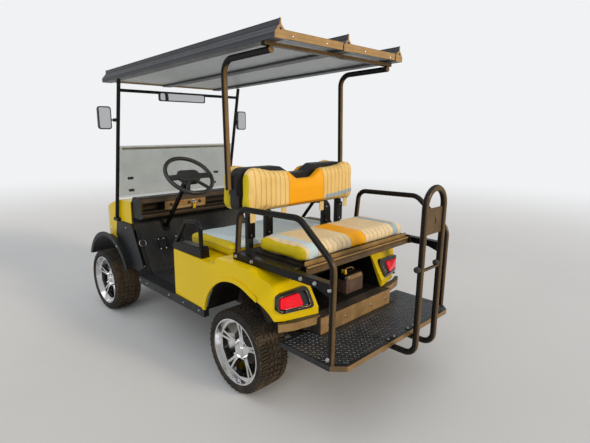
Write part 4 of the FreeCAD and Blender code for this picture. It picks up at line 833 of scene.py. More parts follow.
# %% Nuts, caps, valves and drums
NUT_CIRCLE = 0.0508
nut = fitting([(0.0105, -0.004), (0.0105, 0.002), (0.0098, 0.004), (0.0098, 0.0155), (0.0075, 0.0185),
               (0.002, 0.0195)], (2, 3))
cap = fitting([(0.0300, -0.004), (0.0300, 0.003), (0.0285, 0.006), (0.0255, 0.0068), (0.0245, 0.0058),
               (0.0200, 0.0072), (0.0100, 0.0088), (0.0020, 0.0092)], (), 48)
valve = fitting([(0.0058, -0.006), (0.0058, 0.004), (0.0040, 0.006), (0.0036, 0.020), (0.0044, 0.021),
                 (0.0044, 0.030), (0.0030, 0.031)], (), 16)
drum = fitting([(0.1060, -0.026), (0.1060, -0.006), (0.1110, -0.004), (0.1110, 0.004), (0.1060, 0.006),
                (0.1060, 0.020), (0.0980, 0.027), (0.0560, 0.029), (0.0500, 0.029)], (), 64)
for corner, outward in CORNERS.items():
    hub, body = box_of(corner + "_rim")[2], corner + "_wheel"
    axis = np.array((0, outward, 0.0))
    turn = np.radians(45 + 90 * np.arange(4))
    around = np.stack([np.cos(turn), 0 * turn, np.sin(turn)], 1) * NUT_CIRCLE
    nuts = [(hub + spot + axis * 0.0465, axis) for spot in around]
    fittings("nuts_" + corner, nut, nuts, polished, "polished_alloy", body)
    fittings("cap_" + corner, cap, [(hub + axis * 0.058, axis)], polished, "polished_alloy", body, True)
    stem = np.array((math.cos(2.2), 0, math.sin(2.2)))
    fittings("valve_" + corner, valve, [(hub + stem * 0.166 + axis * 0.071, -stem + 1.2 * axis)],
             grip_black, "black_plastic", body, True)
    fittings("drum_" + corner, drum, [(hub - axis * 0.006, axis)], chassis_black, "axle_steel", body,
             True)
print("wheels fitted")

# %% [markdown]
# ## Tread plate
# The footplate is steel tread plate: small lens shaped lugs, rolled up out of the sheet, that
# lie across each other in turn. Each lug is a six sided lozenge with a smaller top, and the
# array keeps only those whose middle lies inside the plate's outline.

# %% Lugs of the footplate
LUG_PITCH = 0.0190
PLATE_TOP = 0.412
LOZENGE = np.array([(-0.0112, 0), (-0.0054, -0.0030), (0.0054, -0.0030), (0.0112, 0), (0.0054, 0.0030),
                    (-0.0054, 0.0030)])
REAR_EDGE, HALF_WIDTH, CUT = -0.716, 0.530, 0.062
BUMPER_HALF, BUMPER_EDGE, SIDE_EDGE = 0.328, -0.424, -0.330


def inside_plate(x, y, edge=0.016):
    """True where a lug fits: free edges, cut corners behind, a step round the bumper in front."""
    side = np.abs(y)
    fits = (x > REAR_EDGE + edge) & (side < HALF_WIDTH - edge)
    fits &= side - (x - REAR_EDGE) < HALF_WIDTH - CUT - edge * 1.4
    front = np.where(side < BUMPER_HALF + edge, BUMPER_EDGE, SIDE_EDGE)
    return fits & (x < front - edge)


def lugs():
    """Alternate lozenges on a square grid turned by 45 degrees to the cart."""
    steps = np.arange(-60, 61)
    u, v = np.meshgrid(steps, steps, indexing="ij")
    x = (u + v) * LUG_PITCH / math.sqrt(2) - 0.52
    y = (u - v) * LUG_PITCH / math.sqrt(2)
    keep = inside_plate(x, y)
    x, y, turn = x[keep], y[keep], np.where((u + v)[keep] % 2 == 0, 0.25, 0.75) * np.pi
    cos, sin = np.cos(turn)[:, None], np.sin(turn)[:, None]
    rings = []
    for shrink, height in ((1.0, -0.0004), (0.80, 0.0009), (0.52, 0.0015)):
        long, wide = LOZENGE[:, 0] * shrink, LOZENGE[:, 1] * shrink
        across = x[:, None] + long * cos - wide * sin
        along = y[:, None] + long * sin + wide * cos
        level = np.full_like(across, PLATE_TOP + height)
        rings.append(np.stack([across + REAR_AXLE, along, level], -1))
    return *six_sided(np.stack(rings, 1)), len(x)


lug_steel = finish("worn_tread_lugs", (0.09, 0.10, 0.11), (0.18, 0.195, 0.21), 0.28, spread=26,
                   metal=0.7, dust=0.08, relief=two_noises(120, 600, 0.5, (3, 2)), depth=0.0001)
points, faces, count = lugs()
place_piece("tread_lugs", points, faces, lug_steel, "diamond_plate", smooth=False)
print("lugs", count)

# %% [markdown]
# ## Ribbed floor mat
# The floor and the toe board carry one rubber mat with ribs along the cart. Its section across
# the cart is a row of flat topped ribs, and that section follows a path: along the floor, up
# the toe board in a short bend, so the mat is one grid of points.

# %% Mat of the cabin floor


def ribbed_section(half, pitch, height, top):
    """Across and up values of flat topped ribs between -half and half."""
    count = int(2 * half / pitch)
    start = -count * pitch / 2 + np.arange(count) * pitch
    across = start[:, None] + np.array([0.0, 0.0015, top + 0.0015, top + 0.003])
    up = np.tile([0.0, height, height, 0.0], (count, 1))
    return across.ravel(), up.ravel()


def mat():
    """The section carried along the floor and up the toe board."""
    path = np.array([(0.62, 0.0), (0.80, 0.0), (1.0, 0.0), (1.058, 0.0), (1.072, 0.004),
                     (1.082, 0.011), (1.0943, 0.024), (1.105, 0.0438), (1.1878, 0.194),
                     (1.2429, 0.294), (1.2847, 0.370)])
    path = path + (REAR_AXLE, box_of("floor_pan")[0][2] + 0.0064)
    ahead = np.gradient(path, axis=0)
    ahead /= np.linalg.norm(ahead, axis=1, keepdims=True)
    normal = np.stack([-ahead[:, 1], ahead[:, 0]], 1)
    across, up = ribbed_section(0.488, 0.024, 0.0032, 0.011)
    points = np.zeros((len(path), len(across), 3))
    points[..., 0] = path[:, :1] + normal[:, :1] * up
    points[..., 1] = across
    points[..., 2] = path[:, 1:] + normal[:, 1:] * up
    return points


def rubber_grain(tree):
    """Fine speckle of floor rubber."""
    return noise(tree, 500, 3)


mat_rubber = finish("floor_rubber", (0.012, 0.014, 0.016), (0.022, 0.024, 0.027), 0.50, spread=9,
                    dust=0.10, reach=0.8, relief=rubber_grain, depth=0.0003)
sheet = mat()
place_piece("floor_mat", sheet.reshape(-1, 3), [grid_faces(*sheet.shape[:2])], mat_rubber,
            smooth=False)
print("mat points", sheet.shape)

# %% [markdown]
# ## Plates and beads
# Panels, labels, clamps and straps are flat plates with round corners and a small bevel; trim
# rings and handles are beads, a round section carried along a path.

# %% Plates and beads


def round_corners(width, height, corner, steps=5):
    """Outline of a rectangle with round corners as (X, Y) rows, anticlockwise."""
    turn = np.linspace(0, np.pi / 2, steps)
    quarter = np.stack([np.cos(turn), np.sin(turn)], 1) * corner
    parts = []
    spin = np.array([[0, 1], [-1, 0]])
    for index, (side, level) in enumerate(((1, 1), (-1, 1), (-1, -1), (1, -1))):
        middle = np.array([side * (width / 2 - corner), level * (height / 2 - corner)])
        parts.append(quarter @ np.linalg.matrix_power(spin, index) + middle)
    return np.concatenate(parts)


def plate(width, height, thick, corner, bevel=0.0008, sink=0.002):
    """A plate in XY that stands from -sink to thick, its upper edge bevelled."""
    rings = []
    for inset, level in ((0, -sink), (0, thick - bevel), (bevel, thick)):
        ring = round_corners(width - 2 * inset, height - 2 * inset, corner - inset)
        rings.append(np.column_stack([ring, np.full(len(ring), level)]))
    return stacked(rings)


def bead(path, radius, sides=10, closed=False):
    """A round section carried along a path: path + radius (first cos a + second sin a)."""
    path = np.asarray(path, float)
    ahead = np.roll(path, -1, 0) - np.roll(path, 1, 0)
    if not closed:
        ahead[0], ahead[-1] = path[1] - path[0], path[-1] - path[-2]
    ahead /= np.linalg.norm(ahead, axis=1, keepdims=True)
    helper = np.eye(3)[np.argmin(np.abs(ahead).max(0))]
    first = np.cross(ahead, helper)
    first /= np.linalg.norm(first, axis=1, keepdims=True)
    second = np.cross(ahead, first)
    angle = np.arange(sides) * 2 * np.pi / sides
    round_part = np.cos(angle)[:, None] * first[:, None] + np.sin(angle)[:, None] * second[:, None]
    points = path[:, None] + radius * round_part
    if closed:
        return points.reshape(-1, 3), [grid_faces(len(path), sides, True, True)]
    return stacked(points)


print("plates and beads ready")

# %% [markdown]
# ## Tail lamp trim
# A thin bronze bead runs round the inner edge of each bezel. The bezel slopes, so each point of
# the bead's path keeps its Y and Z and takes its X from a ray that meets the bezel from behind.

# %% Beads round the lamps


def skin_of(name):
    """A ray tree of a CAD node in the shared frame."""
    node = nodes[name]
    corners = [node.matrix_world @ vertex.co for vertex in node.data.vertices]
    return BVHTree.FromPolygons(corners, [list(face.vertices) for face in node.data.polygons])


def behind_skin(name, places):
    """For rows of (Y, Z), the points where rays from behind meet a node."""
    tree = skin_of(name)
    found = [tree.ray_cast(Vector((-2.5, y, z)), Vector((1, 0, 0)))[0] for y, z in places]
    return np.array([list(point) for point in found])


bezel_edge = finish("bezel_edge", (0.30, 0.21, 0.13), (0.22, 0.15, 0.09), 0.3, spread=30, metal=1.0,
                    dust=0.05)
ring = round_corners(0.184, 0.078, 0.020, 8)
for side, label in ((1, "left"), (-1, "right")):
    path = behind_skin("tail_lamp_bezels", ring * (side, 1) + (side * 0.434, 0.603))
    place_piece("lamp_bead_" + label, *bead(path, 0.0014, 8, True), bezel_edge)
print("lamp beads", len(ring))

# %% [markdown]
# ## The charger in the tail
# The sealed charger has a smooth black lid with a carrying handle, a brown label panel towards
# the rear and a yellow plug beside it. The lid is a rounded outline that shrinks with height
# like a quarter of a superellipse.

# %% Charger lid, handle, panel and plug
# The lid's faces that look back get a painted tan of the low sun.
case_black = finish("charger_lid", (0.004, 0.004, 0.004), (0.009, 0.008, 0.008), 0.22, coat=0.4,
                    dust=0.12, reach=0.8, behind=0.55)
plug_yellow = finish("plug_yellow", (0.80, 0.52, 0.01), (0.72, 0.46, 0.01), 0.35, dust=0.05)
low, high, middle = box_of("well_charger")
long, wide = (high - low)[:2]
rise = np.linspace(0, 1, 9)
rings = []
for draw, level in zip(0.030 * (1 - (1 - rise ** 2.6) ** (1 / 2.6)), rise * 0.034):
    shape = round_corners(long + 0.010 - 2 * draw, wide + 0.012 - 2 * draw, 0.034 - draw)
    rings.append(np.column_stack([shape + middle[:2], np.full(len(shape), high[2] - 0.010 + level)]))
place_piece("charger_lid", *stacked(rings), case_black, "charger_case")
arc = np.linspace(0, np.pi, 15)
handle = np.stack([0 * arc + middle[0] - 0.012, middle[1] - 0.052 * np.cos(arc),
                   high[2] + 0.014 + 0.026 * np.sin(arc) ** 0.6], 1)
place_piece("charger_handle", *bead(handle, 0.0058), case_black, "charger_case")
label_height = low[2] + 0.042
fittings("charger_panel", plate(0.124, 0.058, 0.0035, 0.006),
         [((low[0], middle[1], label_height), BACK)], case_brown, "charger_case")
fittings("charger_side", plate(0.104, 0.058, 0.0030, 0.006),
         [((middle[0], high[1], label_height), OUT)], case_brown, "charger_case")
plug = fitting([(0.0095, -0.004), (0.0095, 0.018), (0.0080, 0.020), (0.0080, 0.030),
                (0.0040, 0.033)], (1, 2), 18)
fittings("charger_plug", plug, [((low[0] + 0.03, high[1] - 0.02, high[2] + 0.016), UP),
                                ((low[0] + 0.06, high[1] - 0.03, high[2] + 0.018), (-0.4, 0.5, 0.8))],
         plug_yellow, "charger_case", smooth=True)
print("charger dressed")

# %% [markdown]
# ## Controls on the dash
# A separate panel fills the middle of the dash. It holds the key switch with its tag, a row of
# small lamps and three knobs, and simple pale shapes mark their places.

# %% Dash panel, key switch, lamps and knobs
# The dash panel is dark brown; it looks back, so it gets a strong painted tan of the low sun.
panel_with_painted_sun = finish("dash_panel", (0.030, 0.020, 0.013), (0.048, 0.032, 0.020), 0.35, spread=20, coat=0.2,
                   dust=0.1, scratch=0.4, behind=0.85)
mark_pale = finish("pale_marks", (0.72, 0.70, 0.64), (0.66, 0.64, 0.58), 0.45)
pilot_red = finish("pilot_red", (0.60, 0.03, 0.02), (0.50, 0.02, 0.02), 0.2, coat=0.5)
bright = finish("bright_trim", (0.78, 0.76, 0.72), (0.70, 0.69, 0.66), 0.18, spread=30, metal=1.0,
                dust=0.05)
FACE = np.array((-0.993, 0.0, -0.118))


def on_dash(height, *across):
    """Places on the dash face at a height, from its measured slope, each with the face's normal."""
    return [(np.array((0.5815 - 0.1175 * (height - 0.86), y, height)), FACE) for y in across]


fittings("dash_panel", plate(0.352, 0.064, 0.003, 0.008), on_dash(0.873, 0.126), panel_with_painted_sun)
switch = fitting([(0.0150, -0.002), (0.0150, 0.008), (0.0135, 0.0095), (0.0090, 0.0095),
                  (0.0085, 0.0075), (0.0030, 0.0075)], (), 28)
fittings("key_switch", switch, on_dash(0.884, 0.061), bright, "axle_steel", smooth=True)
key = fitting([(0.0016, 0.004), (0.0016, 0.018), (0.0100, 0.019), (0.0105, 0.024), (0.0060, 0.036),
               (0.0020, 0.038)], (2, 3), 12)
fittings("key", key, on_dash(0.884, 0.061), zinc, "axle_steel")
tag_place = on_dash(0.850, 0.061)[0][0] + (-0.022, 0, 0)
fittings("key_tag", plate(0.024, 0.050, 0.003, 0.006), [(tag_place, FACE)], plug_yellow, "yellow_body")
knob = fitting([(0.0120, -0.002), (0.0120, 0.004), (0.0095, 0.006), (0.0088, 0.018), (0.0070, 0.020),
                (0.0020, 0.0205)], (3, 4))
fittings("dash_knobs", knob, on_dash(0.882, 0.005, 0.100, 0.255), grip_black, smooth=True)
pilot = fitting([(0.0050, -0.002), (0.0050, 0.003), (0.0035, 0.0055), (0.0010, 0.0062)], (), 14)
fittings("pilot_lamps", pilot, on_dash(0.893, 0.128, 0.150, 0.172), pilot_red, "lamp_red", smooth=True)
spots = [(place + FACE * 0.003, FACE) for place, _ in on_dash(0.853, *np.arange(-0.03, 0.29, 0.020))]
mark = fitting([(0.0046, -0.001), (0.0046, 0.0006), (0.0030, 0.0007)], (0, 1, 2), 12)
fittings("dash_marks", mark, spots[::2], mark_pale)
fittings("dash_bars", plate(0.0085, 0.0045, 0.0006, 0.001, 0.0003), spots[1::2], mark_pale)
print("dash marks", len(spots))

# %% [markdown]
# ## Pedals and toe board
# Each pedal has a rubber pad with cross ribs and four bright screws; a round cover with a
# bright rim closes the hole in the toe board beside them.

# %% Pads, screws and cover
TOE = np.array((-0.876, 0.0, 0.482))
screw = fitting([(0.0058, -0.001), (0.0058, 0.0015), (0.0042, 0.0034), (0.0015, 0.0040)], (), 16)


def on_pedal(y, z):
    """The point of the pedal faces at a height: they lean like the toe board."""
    return np.array((0.546 + 0.55 * (z - 0.60), y, z))


PEDALS = (0.210, 0.355)
ribs_at = [(on_pedal(y, z), TOE) for y in PEDALS for z in (0.575, 0.588, 0.601, 0.614, 0.627)]
fittings("pedal_ribs", plate(0.050, 0.0065, 0.0028, 0.002), ribs_at, grip_black)
heads = [(on_pedal(y + side, z), TOE) for y in PEDALS for side in (-0.021, 0.021)
         for z in (0.567, 0.634)]
fittings("pedal_screws", screw, heads, bright, "axle_steel", smooth=True)
cover = fitting([(0.030, -0.002), (0.030, 0.004), (0.027, 0.006), (0.024, 0.0045), (0.012, 0.006),
                 (0.004, 0.0065)], (), 40)
spot = np.array((0.5515 + 0.0580, 0.480, 0.611))
fittings("toe_cover", cover, [(spot, TOE)], grip_black, smooth=True)
ring = spot + TOE * 0.0055 + circle(40, 0.0255) @ basis(TOE).T
place_piece("toe_cover_rim", *bead(ring, 0.0016, 8, True), bright, "axle_steel")
fender_screws = [((x, side * y, z), (0, side, 0)) for side in (1, -1)
                 for x, y, z in ((0.882, 0.560, 0.547), (0.800, 0.513, 0.700))]
fittings("fender_screws", screw, fender_screws, bright, "axle_steel", smooth=True)
print("pedal ribs", len(ribs_at), "screws", len(heads) + len(fender_screws))

# %% [markdown]
# ## Pad of the steering wheel
# A soft pad covers the hub and the roots of the spokes. It is a plate with large corners that
# lies square to the wheel's axis, where a ray along that axis meets the hub.

# %% Hub pad
TURN_AXIS = np.array((-math.sin(math.radians(40)), 0, math.cos(math.radians(40))))
above = box_of("steering_wheel")[2] + TURN_AXIS * 0.2
hub = skin_of("steering_wheel").ray_cast(Vector(above), Vector(-TURN_AXIS))[0]
fittings("hub_pad", plate(0.172, 0.098, 0.012, 0.038, 0.005, 0.010), [(np.array(hub), TURN_AXIS)],
         grip_black, body="steering_wheel")
print("hub pad at", [round(part, 4) for part in hub])

# %% [markdown]
# ## Clips, clamps and knobs
# Small hardware that the photo shows: clips that hold the folded windshield pane, clamps that
# hold the grab bar's legs to the footplate, and the bar's two knobs and the slot in its plate.

# %% Hardware of the windshield and the grab bar
PANE = (-0.98, 0, -0.18)
clips = [((0.8875, 0.409, 0.968), PANE), ((0.8875, -0.348, 0.972), PANE),
         ((0.8708, -0.363, 1.063), PANE), ((0.8708, 0.420, 1.063), PANE)]
fittings("pane_clips", plate(0.042, 0.018, 0.010, 0.004), clips, grip_black)
clamp_bolts = [(at(-696, y, 415), UP) for y in (-120, -66, 66, 120)]
fittings("clamp_bolts", hex_bolt(0.0062), clamp_bolts, zinc, "axle_steel")
clamps = [(at(-696, y, 412), UP) for y in (-93, 93)]
fittings("clamp_plates", plate(0.076, 0.024, 0.004, 0.005), clamps, tube_dark, "black_steel")
grip = fitting([(0.0075, -0.004), (0.0075, 0.010), (0.0150, 0.012), (0.0165, 0.016), (0.0165, 0.026),
                (0.0145, 0.030), (0.0050, 0.031)], (3, 4))
knobs = [(at(-830, y, 817), OUT) for y in (101, -77)]
fittings("bar_knobs", grip, knobs, grip_black, smooth=True)
fittings("bar_slot", plate(0.009, 0.034, 0.0006, 0.0044, 0.0003), [((-1.4167, -0.012, 1.035), BACK)],
         well_black)
print("clips", len(clips), "clamps", len(clamps), "knobs", len(knobs))

# %% [markdown]
# ## Brackets, straps, screws and mirror faces
# These all face the rear: brackets with bolts and vinyl straps under the seat backs, screws at
# the ends of the roof rails and boards, and the silvered faces of the three mirrors. So a plane,
# a height and a few Y values are enough to say where each of them is.

# %% Hardware that faces the rear


def facing_back(x, *rows):
    """Places in the plane X = x that face the rear; each row is a height and its Y values."""
    return [((x, y, z), BACK) for z, *across in rows for y in across]


POSTS, POST_FACE = (0.250, 0.385, -0.250, -0.385), -0.5215
posts = facing_back(POST_FACE, (0.862, *POSTS), (0.955, *POSTS))
fittings("post_bolts", hex_bolt(0.0062), posts, zinc, "axle_steel")
fittings("post_brackets", plate(0.052, 0.125, 0.005, 0.007),
         facing_back(POST_FACE, (0.908, *POSTS)), tube_dark, "black_steel")
strap_vinyl = finish("strap_vinyl", (0.82, 0.60, 0.26), (0.74, 0.53, 0.22), 0.4, spread=30,
                     relief=powder, depth=0.0002, specular=0.3)
fittings("back_straps", plate(0.038, 0.058, 0.0022, 0.004),
         facing_back(-0.556, (0.972, -0.400, -0.165, 0.165, 0.400)), strap_vinyl, "seat_vinyl")
fittings("roof_screws", screw, facing_back(-0.8598, (1.893, -0.486, 0, 0.486)), grip_black, smooth=True)
fittings("board_screws", screw, facing_back(-0.8538, (1.868, -0.40, -0.16, 0.16, 0.40)), bright,
         "axle_steel", smooth=True)
fittings("centre_mirror_face", plate(0.380, 0.050, 0.0012, 0.012),
         facing_back(0.7167, (1.665, 0.030)), mirror_face, "mirror_case")
fittings("side_mirror_faces", plate(0.078, 0.142, 0.0012, 0.014),
         facing_back(0.8020, (1.505, 0.607, -0.607)), mirror_face, "mirror_case")
print("post bolts", len(posts))

# %% [markdown]
# ## Vinyl of the seats
# The seats are sewn from cream vinyl with yellow panels. Where one colour ends and the next
# begins follows from the place on the cushion, so each band is a comparison of Y or Z with a
# seam's place. The seams themselves are channels pressed into the padding, with a thin line of
# tan thread at their bottom.

# %% Seat vinyl
CREAM, CREAM_WORN = (0.80, 0.63, 0.38), (0.73, 0.56, 0.32)
# The seat backs' cream is a lit copy of CREAM: painted warmer, as in the low sun.
SUNNY_CREAM, SUNNY_WORN = (0.86, 0.60, 0.22), (0.80, 0.54, 0.18)
# One yellow vinyl in two copies: painted as lit by the low sun (amber) and as in shade (lemon).
SUNLIT_YELLOW_VINYL = (0.92, 0.40, 0.001)
SHADED_YELLOW_VINYL = (0.60, 0.46, 0.003)
# The grey stripe's own colour, and a pale blue painted as lit by the sky: for the seat's left stripe and
# the bench's cream top.
STRIPE, SKYLIT_PALE_BLUE = (0.34, 0.43, 0.48), (0.55, 0.66, 0.70)
THREAD = (0.30, 0.18, 0.06)


def hide(tree):
    """Leather-like grain of vinyl: small cells over faint wrinkles."""
    return cells(tree, 620).ramp(0.0, 0.7) * 0.5 + noise(tree, 130, 4) * 0.5


def seams_at(distance, places, half=0.0016):
    """1 within half of any of the places, else 0."""
    line = None
    for spot in places:
        here = (distance - spot).abs() < half
        line = here if line is None else line.larger(here)
    return line


def vinyl(name, bands, seams, cream=CREAM, worn=CREAM_WORN):
    """Vinyl whose bands(tree) lists (mask, colour) in order and seams(tree) gives the thread mask."""
    material = finish(name, cream, worn, 0.42, spread=7, coat=0.05, dust=0.03, relief=hide,
                      depth=0.00035, specular=0.25)
    tree = material.node_tree
    shader = tree.nodes["Principled BSDF"]
    link = shader.inputs["Base Color"].links[0]
    colour = Signal(tree, link.from_socket)
    for mask, band in bands(tree):
        colour = blended(tree, mask, colour, band)
    colour = blended(tree, seams(tree), colour, THREAD)
    tree.links.new(colour.socket, shader.inputs["Base Color"])
    return material


print("vinyl plan ready")

# %% [markdown]
# ## Bands and channels of the cushions
# The seat backs and the seats have a plain yellow panel in the middle, narrow pleats beside it
# and ends of the same yellow vinyl: the middle painted as lit by the low sun (amber), the ends
# as in shade (lemon). A grey stripe crosses one side; on the seat the stripe on the other side
# is painted pale blue, as lit by the sky. The bench's cream top is painted pale blue, as in sky
# shade, with a lemon edge of the shaded yellow.
# Masks use places; only the stripe of the backs also asks which way the surface looks, so
# that it stays on the rear face.

# %% Vinyl of the three kinds of cushion
BACK_PANEL, BENCH_END, BENCH_EDGE = 0.150, 0.405, 0.770
CHANNELS = (0.184, 0.220, 0.256, 0.292, 0.328, 0.364, 0.400)
SEAT_CHANNELS = (0.063, 0.102, 0.141, 0.180, 0.219, 0.258, 0.297, 0.335)


def back_bands(tree):
    """Sunlit yellow middle, a sloping grey stripe on the right of the rear face, ends of the yellow
    painted as in shade.
    """
    y, z = axes_of(tree)[1:]
    side = y.abs()
    rise = y * -0.075 + 1.010
    band = (y < -0.160) * (z > rise) * (z < rise + 0.026) * (facing(tree)[0] < -0.3)
    return [(side < BACK_PANEL, SUNLIT_YELLOW_VINYL), (band, STRIPE), (side > 0.438, SHADED_YELLOW_VINYL)]


def back_seams(tree):
    """Thread beside the yellow middle and in every channel of a seat back."""
    return seams_at(axes_of(tree)[1].abs(), (BACK_PANEL,) + CHANNELS, 0.0013)


def seat_bands(tree):
    """Sunlit yellow middle, a grey stripe on the right, the same stripe on the left painted pale blue as
    lit by the sky, ends of the yellow painted as in shade.
    """
    y = axes_of(tree)[1]
    side = y.abs()
    stripe = (y < -0.335) * (y > -0.372)
    pale = (y > 0.335) * (y < 0.402)
    return [(side < SEAT_CHANNELS[0], SUNLIT_YELLOW_VINYL), (stripe, STRIPE), (pale, SKYLIT_PALE_BLUE),
            (side > 0.421, SHADED_YELLOW_VINYL)]


def seat_seams(tree):
    """Thread in every channel of the rear seat."""
    return seams_at(axes_of(tree)[1].abs(), SEAT_CHANNELS, 0.0013)


def bench_bands(tree):
    """Cream painted pale blue as in sky shade everywhere (Z is never under 0), then ends and a lower
    edge of the yellow painted as in shade.
    """
    y, z = axes_of(tree)[1:]
    return [(z > 0.0, SKYLIT_PALE_BLUE), ((y.abs() > BENCH_END).larger(z < BENCH_EDGE), SHADED_YELLOW_VINYL)]


def bench_seams(tree):
    """Thread where the bench's pale top ends."""
    y, z = axes_of(tree)[1:]
    return seams_at(y.abs(), (BENCH_END,)).larger(seams_at(z, (BENCH_EDGE,)))


back_vinyl = vinyl("pleated_back_vinyl", back_bands, back_seams, SUNNY_CREAM, SUNNY_WORN)
seat_vinyl = vinyl("pleated_seat_vinyl", seat_bands, seat_seams)
bench_vinyl = vinyl("bench_vinyl", bench_bands, bench_seams)
print("vinyls", back_vinyl.name, seat_vinyl.name, bench_vinyl.name)

# %% [markdown]
# ## Cushions filled with air
# Foam pushes its cover out until the cloth is tight, which is what a cloth simulation with
# inside pressure does. A slightly smaller copy of the CAD cushion is remeshed evenly, blown up
# for twenty frames without gravity, and held to a small movement, so that it stays within its
# box. The channels are pressed in afterwards, along the surface normals.

# %% A loose copy of a cushion
MESH_STEP = 0.007


def rows_of(mesh, kind="co"):
    """Places ("co") or normals ("normal") of a mesh's vertices, one row each."""
    rows = np.empty(len(mesh.vertices) * 3)
    mesh.vertices.foreach_get(kind, rows)
    return rows.reshape(-1, 3)


def move_to(piece, points):
    """Puts a piece's vertices at the points."""
    piece.data.vertices.foreach_set("co", points.ravel())
    piece.data.update()


def loose_copy(name, source, shrink):
    """A copy of a CAD cushion with merged vertices, drawn in by shrink on every side."""
    piece = new_object(name, source.data.copy())
    here = np.array(source.matrix_world)
    points = rows_of(piece.data) @ here[:3, :3].T + here[:3, 3]
    low, high = points.min(0), points.max(0)
    middle = (low + high) / 2
    move_to(piece, middle + (points - middle) * (1 - 2 * shrink / (high - low)))
    weld = piece.modifiers.new("weld", "WELD")
    weld.merge_threshold = 0.0002
    even = piece.modifiers.new("even", "REMESH")
    even.mode = "VOXEL"
    even.voxel_size = MESH_STEP
    soft = piece.modifiers.new("soft", "SMOOTH")
    soft.factor, soft.iterations = 0.5, 16
    return piece, low, high


def settle(piece):
    """Turns the piece's live modifiers into its mesh."""
    graph = bpy.context.evaluated_depsgraph_get()
    mesh = bpy.data.meshes.new_from_object(piece.evaluated_get(graph))
    piece.modifiers.clear()
    piece.data = mesh


print("remeshed at", MESH_STEP)

# %% [markdown]
# ## Air, ironing and sewing
# After the simulation each point's movement is cut to a limit. Wrinkles smaller than a pleat
# are ironed out before the mesh is made finer, and a channel is a dent along the normals with
# the section exp(-(d / width)^2), where d is the distance from the seam's line.

# %% Blow up, iron, press and fit
FRAMES = 20


def blow_up(piece, pressure, most):
    """Inflates the cover for twenty frames and keeps each point's movement under most."""
    start = rows_of(piece.data)
    cloth = piece.modifiers.new("air", "CLOTH")
    cloth.settings.use_pressure = True
    cloth.settings.uniform_pressure_force = pressure
    cloth.settings.effector_weights.gravity = 0
    cloth.settings.tension_stiffness = 30
    cloth.settings.bending_stiffness = 2
    cloth.point_cache.frame_start, cloth.point_cache.frame_end = 1, FRAMES
    for step in range(1, FRAMES + 1):
        bpy.context.scene.frame_set(step)
    settle(piece)
    bpy.context.scene.frame_set(1)
    moved = rows_of(piece.data) - start
    length = np.linalg.norm(moved, axis=1, keepdims=True)
    move_to(piece, start + moved * np.minimum(1, most / np.maximum(length, 1e-9)))


def finer(piece):
    """Wrinkles smaller than a pleat ironed out, then one level of subdivision, made real."""
    ironed = piece.modifiers.new("ironed", "SMOOTH")
    ironed.factor, ironed.iterations = 0.5, 14
    smooth = piece.modifiers.new("smooth", "SUBSURF")
    smooth.levels = smooth.render_levels = 1
    settle(piece)


def press(piece, places, sewn, depth=0.0055, width=0.0062):
    """Presses channels in at |y| = places, as deep as sewn(normals) says."""
    points, normals = rows_of(piece.data), rows_of(piece.data, "normal")
    side = np.abs(points[:, 1])
    dent = sum(np.exp(-((side - spot) / width) ** 2) for spot in places)
    move_to(piece, points - normals * (dent * depth * sewn(normals))[:, None])


def held_in(piece, low, high):
    """Scales the finished cushion back into its CAD box."""
    points = rows_of(piece.data)
    now_low, now_high = points.min(0), points.max(0)
    piece.data.polygons.foreach_set("use_smooth", np.ones(len(piece.data.polygons), bool))
    move_to(piece, low + (points - now_low) * (high - low) / (now_high - now_low))


print("cushion steps ready")

# %% [markdown]
# ## The four cushions
# The two seat backs stand a little above their CAD boxes, as padding does. Channels run over
# the face that is leaned on or sat on and fade out round the edge, so each kind of cushion
# has a function of its normals that says where they are sewn.

# %% Make the padded cushions
PRESSURE, MOST = 4.0, 0.020


def cushion(node, material, body, places, sewn, shrink, proud=0.0):
    """The whole recipe; proud is how far the cover's top stands above its CAD box."""
    piece, low, high = loose_copy(node + "_cover", nodes[node], shrink)
    settle(piece)
    blow_up(piece, PRESSURE, MOST)
    finer(piece)
    held_in(piece, low, high + (0, 0, proud))
    press(piece, places, sewn)
    piece.data.materials.clear()
    piece.data.materials.append(material)
    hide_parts(node)
    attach(piece, body)
    return len(piece.data.polygons)


def front_face(normals):
    """1 on faces that look forward."""
    return np.clip(normals[:, 0] * 1.5, 0, 1)


def rear_face(normals):
    """1 on faces that look back and on the rounded top above them."""
    return np.clip(-normals[:, 0] * 1.5 + np.clip(normals[:, 2], 0, 1), 0, 1)


def upper_face(normals):
    """1 on faces that look up and on the rounded rear edge below them."""
    return np.clip(normals[:, 2] * 1.5 + np.clip(-normals[:, 0], 0, 1), 0, 1)


BACK_CHANNELS = (BACK_PANEL,) + CHANNELS
print("faces", [
    cushion("rear_back_cushion", back_vinyl, "chassis", BACK_CHANNELS, rear_face, 0.012, 0.014),
    cushion("front_back_cushion", back_vinyl, "chassis", BACK_CHANNELS, front_face, 0.012, 0.014),
    cushion("rear_cushion", seat_vinyl, "rear_seat", SEAT_CHANNELS, upper_face, 0.010),
    cushion("front_cushion", bench_vinyl, "front_seat", (BENCH_END,), upper_face, 0.010)])

# %% [markdown]
# ## Floor and background
# A plain studio with a pale floor. The floor is a large disc that fades into the background
# colour far away, for the camera only, so no horizon line shows and the light on the cart
# doesn't change.

# %% Floor
BACKGROUND = (0.88, 0.89, 0.90)
bpy.context.scene.view_settings.view_transform = "Standard"


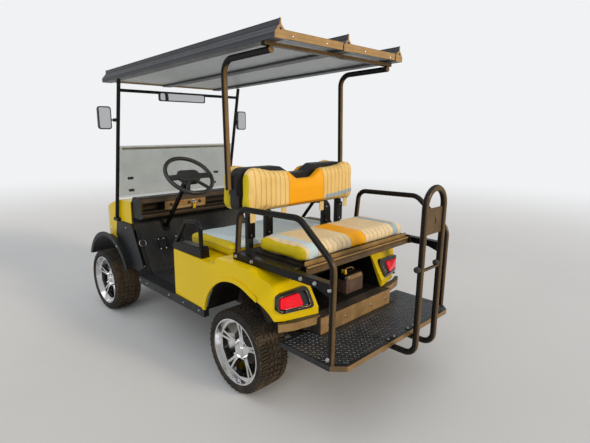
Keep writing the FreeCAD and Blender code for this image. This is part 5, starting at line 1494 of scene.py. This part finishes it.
def plain_floor(name, half, colour, fade, sides=96):
    """A flat round floor that fades, for the camera only, into the background far away."""
    material = finish(name, colour, tuple(0.97 * part for part in colour), 0.8, spread=1, dust=0.0)
    tree = material.node_tree
    shader = tree.nodes["Principled BSDF"]
    x, y = axes_of(tree)[:2]
    away = (x * x + y * y).sum("SQRT").ramp(*fade)
    path = tree.nodes.new("ShaderNodeLightPath")
    glow = tree.nodes.new("ShaderNodeEmission")
    glow.inputs["Color"].default_value = (*BACKGROUND, 1)
    mix = tree.nodes.new("ShaderNodeMixShader")
    tree.links.new((away * Signal(tree, path.outputs["Is Camera Ray"])).socket, mix.inputs[0])
    tree.links.new(shader.outputs[0], mix.inputs[1])
    tree.links.new(glow.outputs[0], mix.inputs[2])
    tree.links.new(mix.outputs[0], tree.nodes["Material Output"].inputs["Surface"])
    place_piece(name, circle(sides, half), [np.arange(sides)[None]], material, None, None,
                         False)


plain_floor("floor", 60.0, (0.58, 0.58, 0.58), (3.0, 11.0))
print("floor placed")

# %% [markdown]
# ## Light
# A soft warm key shines low from behind the cart, as the sun stood, with a wide fill over its
# left side and a soft top light. Sun lamps light the floor evenly. The world is pale for the
# camera and through clear parts, and dimmer as a light, so pale vinyl keeps its colour.

# %% Lamps and world


def sun(name, azimuth, height, strength, colour, softness):
    """A sun lamp that shines from a compass direction (degrees from +X) and height above it."""
    light = bpy.data.lights.new(name, "SUN")
    light.energy = strength
    light.color = colour
    light.angle = math.radians(softness)
    back = direction(math.radians(azimuth), math.radians(height))
    right = np.cross((0, 0, 1), back)
    right /= np.linalg.norm(right)
    set_up(new_object(name, light), [right, np.cross(back, right), back], back * 8)


sun("key", -168, 24, 1.5, (1.0, 0.86, 0.68), 9)
sun("fill", 120, 38, 0.9, (0.95, 0.97, 1.0), 40)
sun("top", 40, 72, 0.5, (1, 1, 1), 50)

world = bpy.data.worlds.new("studio")
bpy.context.scene.world = world
world.use_nodes = True
tree = world.node_tree
back = tree.nodes["Background"]
path = tree.nodes.new("ShaderNodeLightPath")
rays = ("Is Camera Ray", "Is Transmission Ray")
camera_ray, clear_ray = (Signal(tree, path.outputs[name]) for name in rays)
tree.links.new((camera_ray.larger(clear_ray) * 0.45 + 0.55).socket, back.inputs["Strength"])
back.inputs["Color"].default_value = (*BACKGROUND, 1)
print("lamps", [light.name for light in bpy.data.lights])
